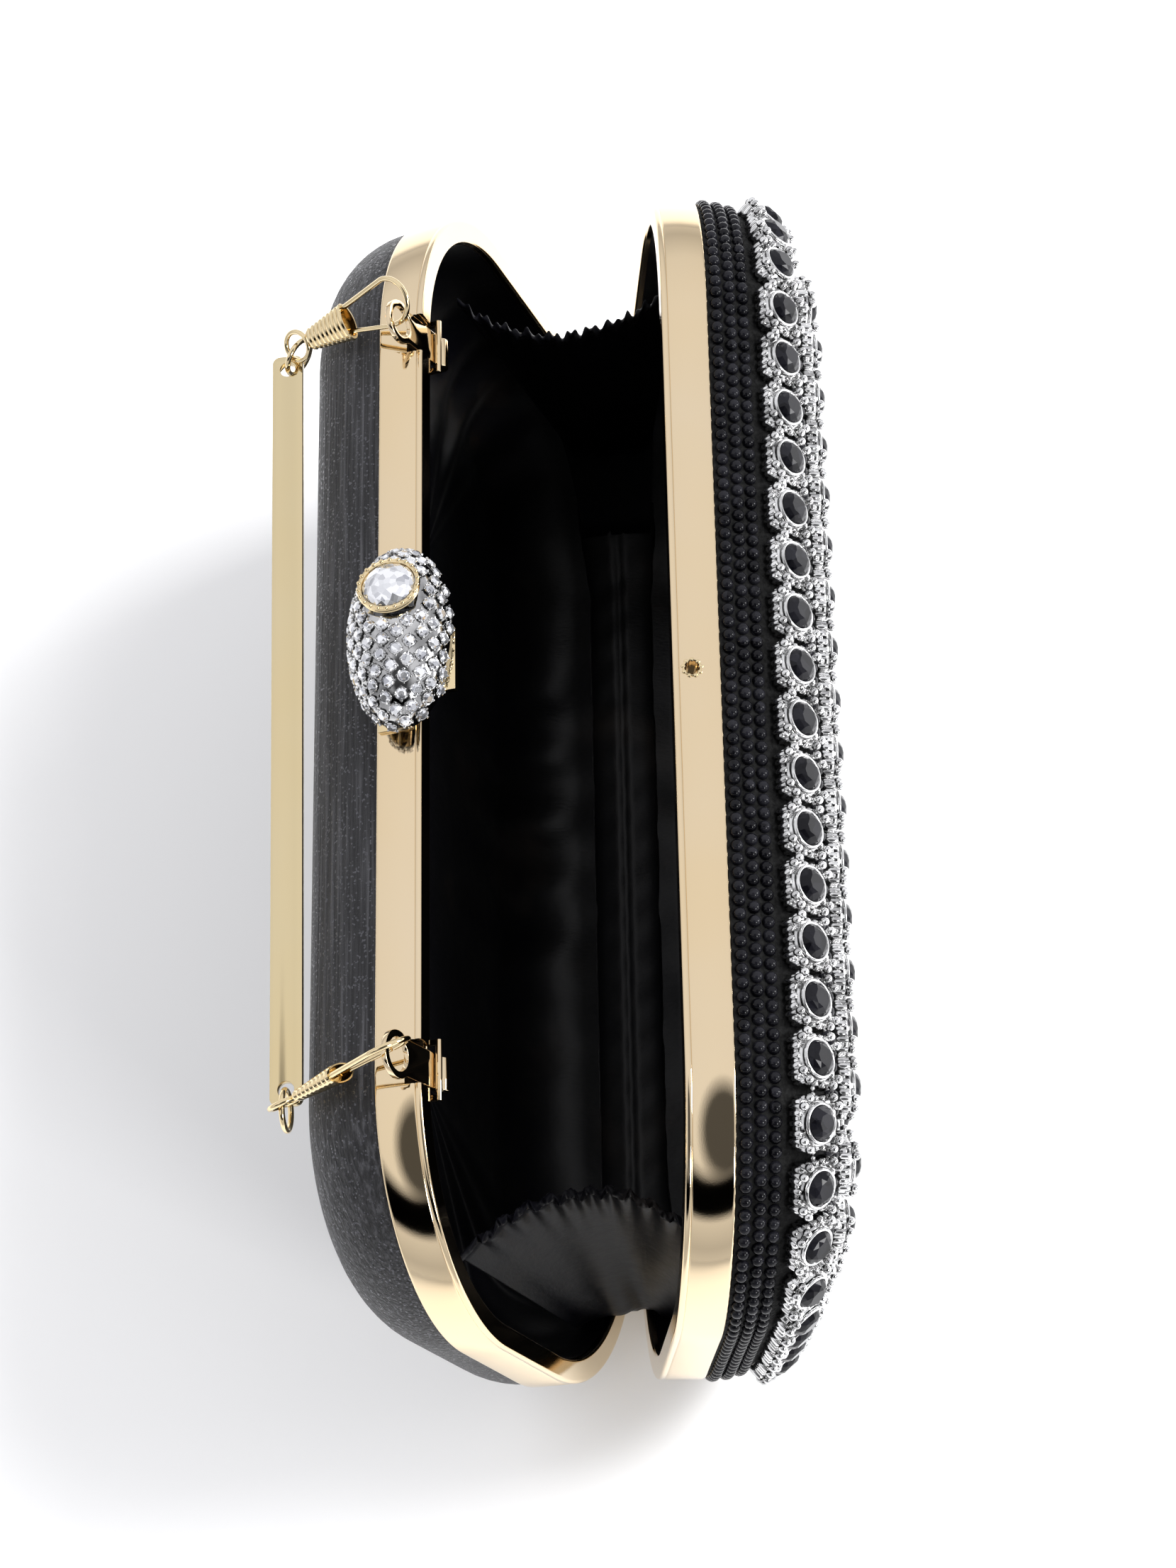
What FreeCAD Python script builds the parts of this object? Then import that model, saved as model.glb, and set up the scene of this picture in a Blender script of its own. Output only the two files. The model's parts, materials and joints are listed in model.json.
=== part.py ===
import FreeCAD, Part

import math
import os

from collections import namedtuple
from functools import lru_cache

from FreeCAD import Matrix, Vector

# A hard-case evening bag: two dished half-shells in metal frames, hinged along the base and
# shown open in a V.  Millimetres, Z up, X along the bag's width, the stone-covered front
# half on the -Y side and the fabric-covered back half on the +Y side.
#
# Each half is drawn closed and upright first: u runs along X, n is the depth away from the
# parting plane, and h is the height above the hinge line.  It is leaned outwards afterwards.

# overall sizes
WIDTH = 190.0
HEIGHT = 96.7
TOP_CORNER = 34.0
BASE_CORNER = 40.0
LEAN = 11.3            # outward lean of each half, in degrees

# the metal frame and the pans behind it
RIM_DEPTH = 7.4
RIM_WALL = 3.8
COVER_STEP = 0.6       # how far the covering sits inside the frame's outline
COVER_DEPTH = 23.2
COVER_ROUND = 15.2     # rounding between the sides and the flat face
COVER_SKIN = 0.8
SHELL_SKIN = 2.4
LINING_SKIN = 0.6

# hinge
HINGE_STATIONS = (-30.0, 30.0)
KNUCKLE_RADIUS = 1.4
KNUCKLE_LENGTH = 7.0
KNUCKLE_GAP = 0.2
PIN_RADIUS = 0.6
PIN_CLEARANCE = 0.05
LEAF_NEAR = 0.3        # the leaf's two faces, behind the parting plane
LEAF_FAR = 1.3
LEAF_HEIGHT = 3.8
HINGE_RIVET_RADIUS = 0.5

# tabs that stand up out of the frame and carry the handle
TAB_X = 60.0
TAB_THICKNESS = 0.8
TAB_WIDTH = 5.6
TAB_LEAN = 10.0        # lean over the back frame, beyond the half's own lean
TAB_PIVOT_N = 0.6
TAB_PIVOT_DROP = 5.6   # pivot below the top of the frame
TAB_EYE_RISE = 9.5     # eye centre above the pivot
TAB_EYE_OUTER = 3.6
TAB_EYE_HOLE = 2.5
TAB_ROLL_DROP = 2.6
TAB_ROLL_RADIUS = 1.2
TAB_ROLL_LENGTH = 5.0
KEEPER_BAR = 0.5
KEEPER_SPREAD = 1.1
KEEPER_HALF_LENGTH = 4.6
KEEPER_STRAP_END = 6.2
STRAP_THICKNESS = 0.7
STRAP_WIDTH = 6.0
STRAP_GAP = 0.12       # below the lining, which dips towards the corner
KEEPER_RIVET_RADIUS = 0.8
NOTCH_HALF_WIDTH = 3.3
NOTCH_DEPTH = 2.6

# spring hooks
HOOK_PIVOT_RISE = TAB_EYE_RISE + (TAB_EYE_OUTER + TAB_EYE_HOLE) / 2
HOOK_FALL = 54.0       # hook direction, in degrees from straight down
HOOK_WIRE = 0.42
HOOK_BOW = 3.6
HOOK_REACH = 22.5      # from the tab's eye to the jump ring
SLEEVE_START = 9.5
SLEEVE_END = 18.7
SLEEVE_MOUTH = 2.9
SLEEVE_TAIL = 1.5
SLEEVE_RIBS = 9
SLEEVE_RIB_HEIGHT = 0.25
SLEEVE_FLATTEN = 0.5
SLEEVE_CAVITY = 2.4
TAIL_LOOP = 2.35
TAIL_CENTRE = 21.8
GATE_WIRE = 0.38
GATE_TIP = 1.9
BOW_TIP = 1.4
GATE_PIVOT_SIDE = 1.45
# twist: turn of the hook's flat side away from lying along the bag; shift: how far along the
# bag it sits off the middle of the tab's eye; ring_turn: turn of its jump ring about the vertical
Hook = namedtuple("Hook", "name tab_x twist splay shift ring_turn")
HOOKS = (
    Hook("near", -TAB_X, -65.0, 8.3, 0.0, 0.0),
    Hook("far", TAB_X, -35.0, 2.7, 2.2, -34.0),
)

# handle
RING_RADIUS = 3.0
RING_WIRE = 0.45
BAR_HALF_WIDTH = 2.45
BAR_THICKNESS = 1.2
BAR_END_MARGIN = 2.4
BAR_HOLE = 1.25
BAR_CORNER = 1.2

# latch on the top of the back frame, all heights above the frame
LATCH_PIVOT_N = 4.0
LATCH_PIVOT_H = 2.2
LATCH_X = (-3.5, 9.5)
LATCH_EAR = 1.0
LATCH_EAR_GAP = 0.3
LATCH_PIN_RADIUS = 0.5
LATCH_BARREL = 0.95
LATCH_PLATE = (1.8, 3.0)
LATCH_PLATE_SKIN = 0.7
TONGUE_X = (-4.0, 6.0)
TONGUE_TIP_N = -6.6
CATCH_X = -1.4
CATCH_N = 3.0
CATCH_PIN_RADIUS = 0.9
CATCH_PIN_BOTTOM = 0.25
EYELET_OUTER = 2.0
EYELET_HOLE = 1.4
EYELET_DEPTH = 2.0
DOME_CENTRE = (5.0, 1.7)
DOME_SEMI = (14.5, 7.9, 8.4)
MAIN_STONE_OFFSET = (5.2, -1.0)
MAIN_STONE_RADIUS = 4.0
BEZEL_RADIUS = 4.8
BEZEL_HEIGHT = 2.4
BEZEL_FLOOR = 0.6
BEZEL_SINK = 1.2
SMALL_CRYSTAL_RADIUS = 0.95
SMALL_CRYSTAL_HEIGHT = 0.7
DOME_ROWS = ((12, 24), (32, 20), (52, 14), (72, 7))   # elevation in degrees, stones in the row

# stones on the front
SETTING_SIZE = 7.9
SETTING_HEIGHT = 3.0
SETTING_PITCH = 8.8
SETTING_STEP = SETTING_PITCH / 8    # places tried along a row
PITCH_SLACK = 0.05
STONE_RADIUS = 2.5
STONE_SEAT = 1.5
STONE_TOP = 4.0
STONE_TABLE = 1.5
FIRST_ROW = 11.3       # distance of the first large row from the frame, over the surface
ROW_PITCH = 13.3
RING_ROWS = 3
CENTRE_ROW_OFFSET = 5.75
CENTRE_ROW_COUNT = 11
BAND_HEIGHT = 0.9
BAND_MARGIN = 0.2
SETTING_GAP = 0.1      # least gap round a setting
FLOOR_MARGIN = 0.45    # stones stop this far above the lowest line of the frames

# gussets
GUSSET_X = 78.0
GUSSET_THICKNESS = 1.4
GUSSET_BASE = (6.4, 17.0)
GUSSET_TOP = (18.0, 66.0)
ELASTIC_HEIGHT = 1.6
BASE_STRIP = (52.0, 4.0, 4.75, 0.6)    # half length, half width, height over the hinge line, thickness

SIN_LEAN = math.sin(math.radians(LEAN))
COS_LEAN = math.cos(math.radians(LEAN))
X_AXIS = Vector(1, 0, 0)


def box(x0, x1, y0, y1, z0, z1):
    return Part.makeBox(x1 - x0, y1 - y0, z1 - z0, Vector(x0, y0, z0))


def rod(start, end, radius):
    return Part.makeCylinder(radius, (end - start).Length, start, end - start)


def mirrored(shape, plane_normal):
    return shape.mirror(Vector(0, 0, 0), plane_normal)


def lean_back(shape):
    """Put a shape drawn in (u, n, h) into the back half's open position."""
    leaned = shape.copy()
    leaned.rotate(Vector(0, 0, 0), X_AXIS, -LEAN)
    return leaned


def lean_front(shape):
    return mirrored(lean_back(shape), Vector(0, 1, 0))


def back_point(u, n, h):
    return Vector(u, n * COS_LEAN + h * SIN_LEAN, h * COS_LEAN - n * SIN_LEAN)


def outline(inset, depth):
    """The half's rounded outline, moved inwards by inset, in the plane n = depth."""
    top = max(TOP_CORNER - inset, 0.5)
    base = max(BASE_CORNER - inset, 0.5)
    side = WIDTH / 2 - inset
    low = inset
    high = HEIGHT - inset
    diagonal = math.sqrt(0.5)

    def at(u, h):
        return Vector(u, depth, h)

    def corner(sign, radius, height, up):
        centre_u = sign * (side - radius)
        centre_h = height - up * radius
        middle = at(centre_u + sign * radius * diagonal, centre_h + up * radius * diagonal)
        return Part.Arc(at(sign * side, centre_h), middle, at(centre_u, height)).toShape()

    edges = [
        Part.makeLine(at(base - side, low), at(side - base, low)),
        corner(1, base, low, -1),
        Part.makeLine(at(side, low + base), at(side, high - top)),
        corner(1, top, high, 1),
        Part.makeLine(at(side - top, high), at(top - side, high)),
        corner(-1, top, high, 1),
        Part.makeLine(at(-side, high - top), at(-side, low + base)),
        corner(-1, base, low, -1),
    ]
    return Part.Wire(Part.__sortEdges__(edges))


def prism(inset, near, far):
    return Part.Face(outline(inset, near)).extrude(Vector(0, far - near, 0))


def pan(inset, near, far, rounding):
    """A solid block with the half's outline whose far face is rounded off all round."""
    block = prism(inset, near, far)
    far_edges = [edge for edge in block.Edges if min(v.Y for v in edge.Vertexes) > far - 0.01]
    return block.makeFillet(rounding, far_edges)


def skin(inset, near, far, rounding, thickness):
    outer = pan(inset, near, far, rounding)
    inner = pan(inset + thickness, near, far - thickness, rounding - thickness)
    return outer.cut(inner)


# ---- frames, shells, coverings and linings ----

def half_rim():
    ring = prism(0, 0, RIM_DEPTH).cut(prism(RIM_WALL, 0, RIM_DEPTH))
    barrel = 3 * KNUCKLE_LENGTH / 2 + KNUCKLE_GAP + 0.3
    relief = KNUCKLE_RADIUS + 0.35
    for station in HINGE_STATIONS:
        start = Vector(station - barrel, 0, 0)
        ring = ring.cut(Part.makeCylinder(relief, 2 * barrel, start, X_AXIS))
        ring = ring.cut(box(station - barrel, station + barrel, 0, LEAF_FAR, 0, RIM_WALL))
    return ring


def half_shell():
    inset = COVER_STEP + COVER_SKIN
    return skin(inset, RIM_DEPTH, COVER_DEPTH - COVER_SKIN, COVER_ROUND - COVER_SKIN, SHELL_SKIN)


def half_cover():
    return skin(COVER_STEP, RIM_DEPTH, COVER_DEPTH, COVER_ROUND, COVER_SKIN)


def half_lining():
    inset = RIM_WALL
    far = COVER_DEPTH - COVER_SKIN - SHELL_SKIN
    rounding = COVER_ROUND - COVER_SKIN - SHELL_SKIN
    return skin(inset, LEAF_FAR, far, rounding, LINING_SKIN)


def tab_notch(x):
    low = HEIGHT - RIM_WALL - LINING_SKIN - 0.1
    return box(x - NOTCH_HALF_WIDTH, x + NOTCH_HALF_WIDTH, -0.1, NOTCH_DEPTH, low, HEIGHT + 0.1)


def keeper_rivet(x):
    low = HEIGHT - RIM_WALL - LINING_SKIN - STRAP_GAP - STRAP_THICKNESS
    n = (NOTCH_DEPTH + KEEPER_STRAP_END) / 2
    return Part.makeCylinder(KEEPER_RIVET_RADIUS, 3.3, Vector(x, n, low))


def latch_rivet(x):
    return Part.makeCylinder(0.7, 2.6, Vector(x, LATCH_PIVOT_N, HEIGHT - 2.0))


def latch_rivet_stations():
    middle = (LATCH_X[0] + LATCH_X[1]) / 2
    reach = (LATCH_X[1] - LATCH_X[0]) / 2 + LATCH_EAR + 2.2
    return (middle - reach, middle + reach)


def hinge_rivet(x):
    return Part.makeCylinder(HINGE_RIVET_RADIUS, 3.2, Vector(x, LEAF_NEAR, 2.8), Vector(0, 1, 0))


def hinge_rivet_stations(owner):
    shift = KNUCKLE_LENGTH + KNUCKLE_GAP if owner == "back" else 0.0
    offsets = (-shift, shift) if owner == "back" else (0.0,)
    return [station + offset for station in HINGE_STATIONS for offset in offsets]


def back_rim():
    rim = half_rim()
    for x in (-TAB_X, TAB_X):
        rim = rim.cut(tab_notch(x)).cut(keeper_rivet(x))
    for x in latch_rivet_stations():
        rim = rim.cut(latch_rivet(x))
    for x in hinge_rivet_stations("back"):
        rim = rim.cut(hinge_rivet(x))
    return rim


def front_rim():
    rim = half_rim()
    for x in hinge_rivet_stations("front"):
        rim = rim.cut(hinge_rivet(x))
    seat = Part.makeCylinder(EYELET_OUTER, EYELET_DEPTH, Vector(CATCH_X, CATCH_N, HEIGHT - EYELET_DEPTH))
    return rim.cut(seat)


def back_lining():
    lining = half_lining()
    for x in (-TAB_X, TAB_X):
        lining = lining.cut(tab_notch(x)).cut(keeper_rivet(x))
    return lining


# ---- hinge ----

def knuckle(x, owner, bore):
    """One barrel of the hinge with the piece of leaf that holds it in the frame's recess."""
    half = KNUCKLE_LENGTH / 2
    barrel = Part.makeCylinder(KNUCKLE_RADIUS, KNUCKLE_LENGTH, Vector(x - half, 0, 0), X_AXIS)
    leaf = box(x - half, x + half, LEAF_NEAR, LEAF_FAR, 0, LEAF_HEIGHT)
    hole = Part.makeCylinder(bore, KNUCKLE_LENGTH, Vector(x - half, 0, 0), X_AXIS)
    piece = barrel.fuse(leaf).cut(hole)
    for rivet_x in hinge_rivet_stations(owner):
        piece = piece.cut(hinge_rivet(rivet_x))
    return piece.removeSplitter()


def hinge_leaves(owner):
    bore = PIN_RADIUS if owner == "back" else PIN_RADIUS + PIN_CLEARANCE
    return Part.makeCompound([knuckle(x, owner, bore) for x in hinge_rivet_stations(owner)])


def hinge_rivets(owner):
    return Part.makeCompound([hinge_rivet(x) for x in hinge_rivet_stations(owner)])


def hinge_pins():
    length = 3 * KNUCKLE_LENGTH + 2 * KNUCKLE_GAP
    pins = [
        Part.makeCylinder(PIN_RADIUS, length, Vector(x - length / 2, 0, 0), X_AXIS)
        for x in HINGE_STATIONS
    ]
    return Part.makeCompound(pins)


# ---- tabs and their keepers ----

TAB_PIVOT = (TAB_PIVOT_N, HEIGHT - TAB_PIVOT_DROP)


def tab_keeper(x):
    """Two bars that the tab tilts between, closed at the ends and strapped under the frame."""
    n, h = TAB_PIVOT
    loop = None
    for side in (-1, 1):
        start = Vector(x - KEEPER_HALF_LENGTH, n + side * KEEPER_SPREAD, h)
        end = Vector(x + KEEPER_HALF_LENGTH, n + side * KEEPER_SPREAD, h)
        bar = rod(start, end, KEEPER_BAR)
        loop = bar if loop is None else loop.fuse(bar)
    for side in (-1, 1):
        cheek_x = x + side * (KEEPER_HALF_LENGTH - 0.4)
        cheek = box(cheek_x - 0.4, cheek_x + 0.4, n - KEEPER_SPREAD, n + KEEPER_SPREAD, h - 0.4, h + 0.4)
        loop = loop.fuse(cheek)
    top = HEIGHT - RIM_WALL - LINING_SKIN - STRAP_GAP
    half = STRAP_WIDTH / 2
    strap = box(x - half, x + half, NOTCH_DEPTH, KEEPER_STRAP_END, top - STRAP_THICKNESS, top)
    foot = box(x - half, x + half, n + KEEPER_SPREAD, NOTCH_DEPTH + 0.4, h - 0.3, top - STRAP_THICKNESS + 0.2)
    return loop.fuse(strap).fuse(foot).cut(keeper_rivet(x)).removeSplitter()


def tab(x):
    """A flat tab with a round eye above and a rolled end below, drawn upright then tilted."""
    n, h = TAB_PIVOT
    half = TAB_THICKNESS / 2
    eye_h = h + TAB_EYE_RISE
    eye_start = Vector(x, n - half, eye_h)
    body = Part.makeCylinder(TAB_EYE_OUTER, TAB_THICKNESS, eye_start, Vector(0, 1, 0))
    plate_top = eye_h - 2.0
    plate = box(x - TAB_WIDTH / 2, x + TAB_WIDTH / 2, n - half, n + half, h - TAB_ROLL_DROP, plate_top)
    roll_start = Vector(x - TAB_ROLL_LENGTH / 2, n, h - TAB_ROLL_DROP)
    roll = Part.makeCylinder(TAB_ROLL_RADIUS, TAB_ROLL_LENGTH, roll_start, X_AXIS)
    hole = Part.makeCylinder(TAB_EYE_HOLE, TAB_THICKNESS, eye_start, Vector(0, 1, 0))
    shape = body.fuse(plate).fuse(roll).cut(hole).removeSplitter()
    shape.rotate(Vector(x, n, h), X_AXIS, -TAB_LEAN)
    return shape


# ---- spring hooks ----

def hook_pivot(x):
    """The middle of the top of the tab's eye, where the hook hangs, in the open position."""
    tilt = math.radians(TAB_LEAN)
    n = TAB_PIVOT[0] + HOOK_PIVOT_RISE * math.sin(tilt)
    h = TAB_PIVOT[1] + HOOK_PIVOT_RISE * math.cos(tilt)
    return back_point(x, n, h)


def hook_matrix(hook):
    """The hook's own frame: local x runs down the hook, local y across its flat side."""
    side = math.copysign(1.0, hook.tab_x)
    fall = math.radians(HOOK_FALL)
    splay = math.radians(hook.splay)
    down = Vector(side * math.sin(splay), math.cos(splay) * math.sin(fall), -math.cos(splay) * math.cos(fall))
    along = Vector(side, 0, 0)
    along = along - down * along.dot(down)
    along.normalize()
    over = down.cross(along) * side
    turn = math.radians(hook.twist)
    across = along * math.cos(turn) + over * math.sin(turn)
    normal = down.cross(across)
    origin = hook_pivot(hook.tab_x) + Vector(side * hook.shift, 0, 0)
    return Matrix(
        down.x, across.x, normal.x, origin.x,
        down.y, across.y, normal.y, origin.y,
        down.z, across.z, normal.z, origin.z,
        0, 0, 0, 1,
    )


def placed_on_hook(shape, matrix):
    placed = shape.copy()
    placed.Placement = FreeCAD.Placement(matrix)
    return placed


def ring_arc(centre, radius, wire, start_angle, sweep):
    """A round wire bent to an arc in the local xy plane, angles in degrees."""
    angle = math.radians(start_angle)
    start = centre + Vector(radius * math.cos(angle), radius * math.sin(angle), 0)
    tangent = Vector(-math.sin(angle), math.cos(angle), 0)
    section = Part.Face(Part.Wire(Part.makeCircle(wire, start, tangent)))
    return section.revolve(centre, Vector(0, 0, 1), sweep)


def sleeve_profile():
    """Outline of the ribbed taper: a tooth for each rib between the mouth and the tail."""
    points = [Vector(SLEEVE_START, 0, 0)]
    length = SLEEVE_END - SLEEVE_START
    for rib in range(SLEEVE_RIBS):
        for step, lift in ((0.0, 0.0), (0.35, SLEEVE_RIB_HEIGHT), (0.65, SLEEVE_RIB_HEIGHT)):
            share = (rib + step) / SLEEVE_RIBS
            radius = SLEEVE_MOUTH + (SLEEVE_TAIL - SLEEVE_MOUTH) * share + lift
            points.append(Vector(SLEEVE_START + share * length, radius, 0))
    points.append(Vector(SLEEVE_END, SLEEVE_TAIL, 0))
    points.append(Vector(SLEEVE_END, 0, 0))
    points.append(points[0])
    return Part.Face(Part.makePolygon(points))


def flattened(shape):
    squash = Matrix()
    squash.scale(1.0, 1.0, SLEEVE_FLATTEN)
    return shape.transformGeometry(squash)


def hook_sleeve():
    """The ribbed, flattened taper with an open mouth towards the bow."""
    body = flattened(sleeve_profile().revolve(Vector(0, 0, 0), X_AXIS, 360))
    mouth = Vector(SLEEVE_START, 0, 0)
    cavity = Part.makeCone(SLEEVE_MOUTH - 0.4, SLEEVE_MOUTH - 0.9, SLEEVE_CAVITY, mouth, X_AXIS)
    return body.cut(flattened(cavity))


def hook_wire():
    """Bow round the tab's eye, one side running into the sleeve, and the loop at the tail."""
    side_end = Vector(SLEEVE_START + 1.2, SLEEVE_MOUTH - 0.8, 0)
    bow_start = Vector(0, HOOK_BOW, 0)
    bow_end = Vector(0, -HOOK_BOW, 0)
    wire = ring_arc(Vector(0, 0, 0), HOOK_BOW, HOOK_WIRE, 90, 180)
    wire = wire.fuse(rod(bow_start, side_end, HOOK_WIRE))
    wire = wire.fuse(Part.makeSphere(HOOK_WIRE, bow_start))
    wire = wire.fuse(rod(bow_end, bow_end + Vector(BOW_TIP, 0, 0), HOOK_WIRE))
    sleeve_space = box(SLEEVE_START, SLEEVE_END, -9, 9, -9, 9)
    loop = ring_arc(Vector(TAIL_CENTRE, 0, 0), TAIL_LOOP, HOOK_WIRE, 0, 360).cut(sleeve_space)
    outside = max(wire.cut(hook_sleeve()).Solids, key=lambda solid: solid.Volume)
    return Part.makeCompound([outside, loop])


def gate_pivot():
    return Vector(SLEEVE_START + 1.0, -GATE_PIVOT_SIDE, 0)


def hook_gate():
    """The sprung wire that closes the bow, pivoting just inside the sleeve's mouth."""
    tip = Vector(GATE_TIP, -HOOK_BOW + 0.1, 0)
    gate = rod(gate_pivot(), tip, GATE_WIRE)
    return gate.fuse(Part.makeSphere(GATE_WIRE, gate_pivot())).removeSplitter()


# ---- handle ----

def ring_hang(hook):
    """The point inside the hook's tail loop that the jump ring hangs from."""
    return hook_matrix(hook).multVec(Vector(HOOK_REACH, 0, 0))


def ring_direction(hook):
    """The level direction in the jump ring's plane, away from the middle of the bag."""
    turn = math.radians(hook.ring_turn)
    side = math.copysign(1.0, hook.tab_x)
    return Vector(side * math.cos(turn), side * math.sin(turn), 0)


def ring_hole(hook):
    """Where the jump ring passes down through the bar."""
    centre = ring_hang(hook) - Vector(0, 0, RING_RADIUS)
    return centre - ring_direction(hook) * RING_RADIUS


def jump_rings():
    rings = []
    for hook in HOOKS:
        centre = ring_hang(hook) - Vector(0, 0, RING_RADIUS)
        normal = ring_direction(hook).cross(Vector(0, 0, 1))
        rings.append(Part.makeTorus(RING_RADIUS, RING_WIRE, centre, normal))
    return Part.makeCompound(rings)


def handle_bar():
    near_hole, far_hole = (ring_hole(hook) for hook in HOOKS)
    half_pitch = (far_hole - near_hole).Length / 2
    end = half_pitch + BAR_END_MARGIN
    half = BAR_THICKNESS / 2
    bar = box(-end, end, -BAR_HALF_WIDTH, BAR_HALF_WIDTH, -half, half)
    corners = [edge for edge in bar.Edges if abs(edge.Vertexes[0].Z - edge.Vertexes[1].Z) > half]
    bar = bar.makeFillet(BAR_CORNER, corners)
    for side in (-1, 1):
        bar = bar.cut(Part.makeCylinder(BAR_HOLE, BAR_THICKNESS, Vector(side * half_pitch, 0, -half)))
    turn = FreeCAD.Rotation(X_AXIS, far_hole - near_hole)
    bar.Placement = FreeCAD.Placement((near_hole + far_hole) * 0.5, turn)
    return bar


# ---- latch ----

def latch_pivot():
    return (LATCH_PIVOT_N, HEIGHT + LATCH_PIVOT_H)


def latch_bracket():
    """Plate riveted to the top of the back frame, with an ear at each end for the pin."""
    first, last = latch_rivet_stations()
    n, h = latch_pivot()
    plate = box(first - 1.4, last + 1.4, 1.2, 6.8, HEIGHT, HEIGHT + LATCH_PLATE_SKIN)
    bracket = plate
    for inner, side in ((LATCH_X[0] - LATCH_EAR_GAP, -1), (LATCH_X[1] + LATCH_EAR_GAP, 1)):
        near, far = sorted((inner, inner + side * LATCH_EAR))
        bracket = bracket.fuse(box(near, far, n - 1.3, n + 1.3, HEIGHT, h + 0.6))
    bracket = bracket.cut(latch_pin())
    for x in latch_rivet_stations():
        bracket = bracket.cut(latch_rivet(x))
    return bracket.removeSplitter()


def latch_pin():
    n, h = latch_pivot()
    start = LATCH_X[0] - LATCH_EAR_GAP - LATCH_EAR
    end = LATCH_X[1] + LATCH_EAR_GAP + LATCH_EAR
    return Part.makeCylinder(LATCH_PIN_RADIUS, end - start, Vector(start, n, h), X_AXIS)


def latch_lever():
    """Rocking plate on a barrel, with the tongue and its catch pin over the mouth."""
    n, h = latch_pivot()
    low, high = HEIGHT + LATCH_PLATE[0], HEIGHT + LATCH_PLATE[1]
    length = LATCH_X[1] - LATCH_X[0]
    plate = box(LATCH_X[0], LATCH_X[1], -2.0, 7.0, low, high)
    tongue = box(TONGUE_X[0], TONGUE_X[1], TONGUE_TIP_N, -1.9, low, high)
    barrel = Part.makeCylinder(LATCH_BARREL, length, Vector(LATCH_X[0], n, h), X_AXIS)
    bottom = HEIGHT + CATCH_PIN_BOTTOM
    pin = Part.makeCylinder(CATCH_PIN_RADIUS, low - bottom + 0.1, Vector(CATCH_X, -CATCH_N, bottom))
    bore = Part.makeCylinder(LATCH_PIN_RADIUS + PIN_CLEARANCE, length, Vector(LATCH_X[0], n, h), X_AXIS)
    return plate.fuse(tongue).fuse(barrel).fuse(pin).cut(bore).removeSplitter()


def latch_spring():
    """Bent leaf between the bracket and the tail of the lever."""
    outline_points = [
        (5.3, 0.7), (6.7, 0.7), (6.7, 0.95), (5.7, 1.8), (5.3, 1.8), (6.2, 0.95), (5.3, 0.95), (5.3, 0.7),
    ]
    points = [Vector(1.0, n, HEIGHT + h) for n, h in outline_points]
    return Part.Face(Part.makePolygon(points)).extrude(Vector(4.0, 0, 0))


def ellipsoid(semi, centre):
    stretch = Matrix()
    stretch.scale(*semi)
    shape = Part.makeSphere(1.0).transformGeometry(stretch)
    shape.translate(centre)
    return shape


def dome_origin():
    return Vector(DOME_CENTRE[0], DOME_CENTRE[1], HEIGHT + LATCH_PLATE[1])


def dome_point(direction):
    """A point on the dome and the outward normal there, for a unit direction."""
    a, b, c = DOME_SEMI
    offset = Vector(a * direction.x, b * direction.y, c * direction.z)
    normal = Vector(direction.x / a, direction.y / b, direction.z / c)
    normal.normalize()
    return dome_origin() + offset, normal


def main_stone_seat():
    a, b, c = DOME_SEMI
    x = MAIN_STONE_OFFSET[0] / a
    y = MAIN_STONE_OFFSET[1] / b
    return dome_point(Vector(x, y, math.sqrt(1 - x * x - y * y)))


def latch_dome():
    """Domed oval cap on the lever, with a flat seat for the main stone."""
    origin = dome_origin()
    a, b, c = DOME_SEMI
    cap = ellipsoid(DOME_SEMI, origin)
    cap = cap.common(box(origin.x - a, origin.x + a, origin.y - b, origin.y + b, origin.z, origin.z + c))
    n, h = latch_pivot()
    for inner, side in ((LATCH_X[0], -1), (LATCH_X[1], 1)):
        near, far = sorted((inner, inner + side * (LATCH_EAR + 2 * LATCH_EAR_GAP)))
        cap = cap.cut(box(near, far, n - 2.0, n + 2.0, origin.z, origin.z + 1.0))
    barrel_room = Part.makeCylinder(LATCH_BARREL + 0.05, 2 * a, Vector(origin.x - a, n, h), X_AXIS)
    cap = cap.cut(barrel_room)
    seat, normal = main_stone_seat()
    return cap.cut(Part.makeCylinder(BEZEL_RADIUS, 6.0, seat - normal * BEZEL_SINK, normal))


def main_bezel():
    seat, normal = main_stone_seat()
    base = seat - normal * BEZEL_SINK
    cup = Part.makeCylinder(BEZEL_RADIUS, BEZEL_HEIGHT, base, normal)
    return cup.cut(Part.makeCylinder(MAIN_STONE_RADIUS, BEZEL_HEIGHT, base + normal * BEZEL_FLOOR, normal))


def main_crystal():
    seat, normal = main_stone_seat()
    base = seat + normal * (BEZEL_FLOOR - BEZEL_SINK)
    girdle = BEZEL_HEIGHT - BEZEL_FLOOR
    body = Part.makeCylinder(MAIN_STONE_RADIUS, girdle, base, normal)
    crown = Part.makeCone(MAIN_STONE_RADIUS, MAIN_STONE_RADIUS * 0.6, 1.2, base + normal * girdle, normal)
    return body.fuse(crown).removeSplitter()


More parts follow.
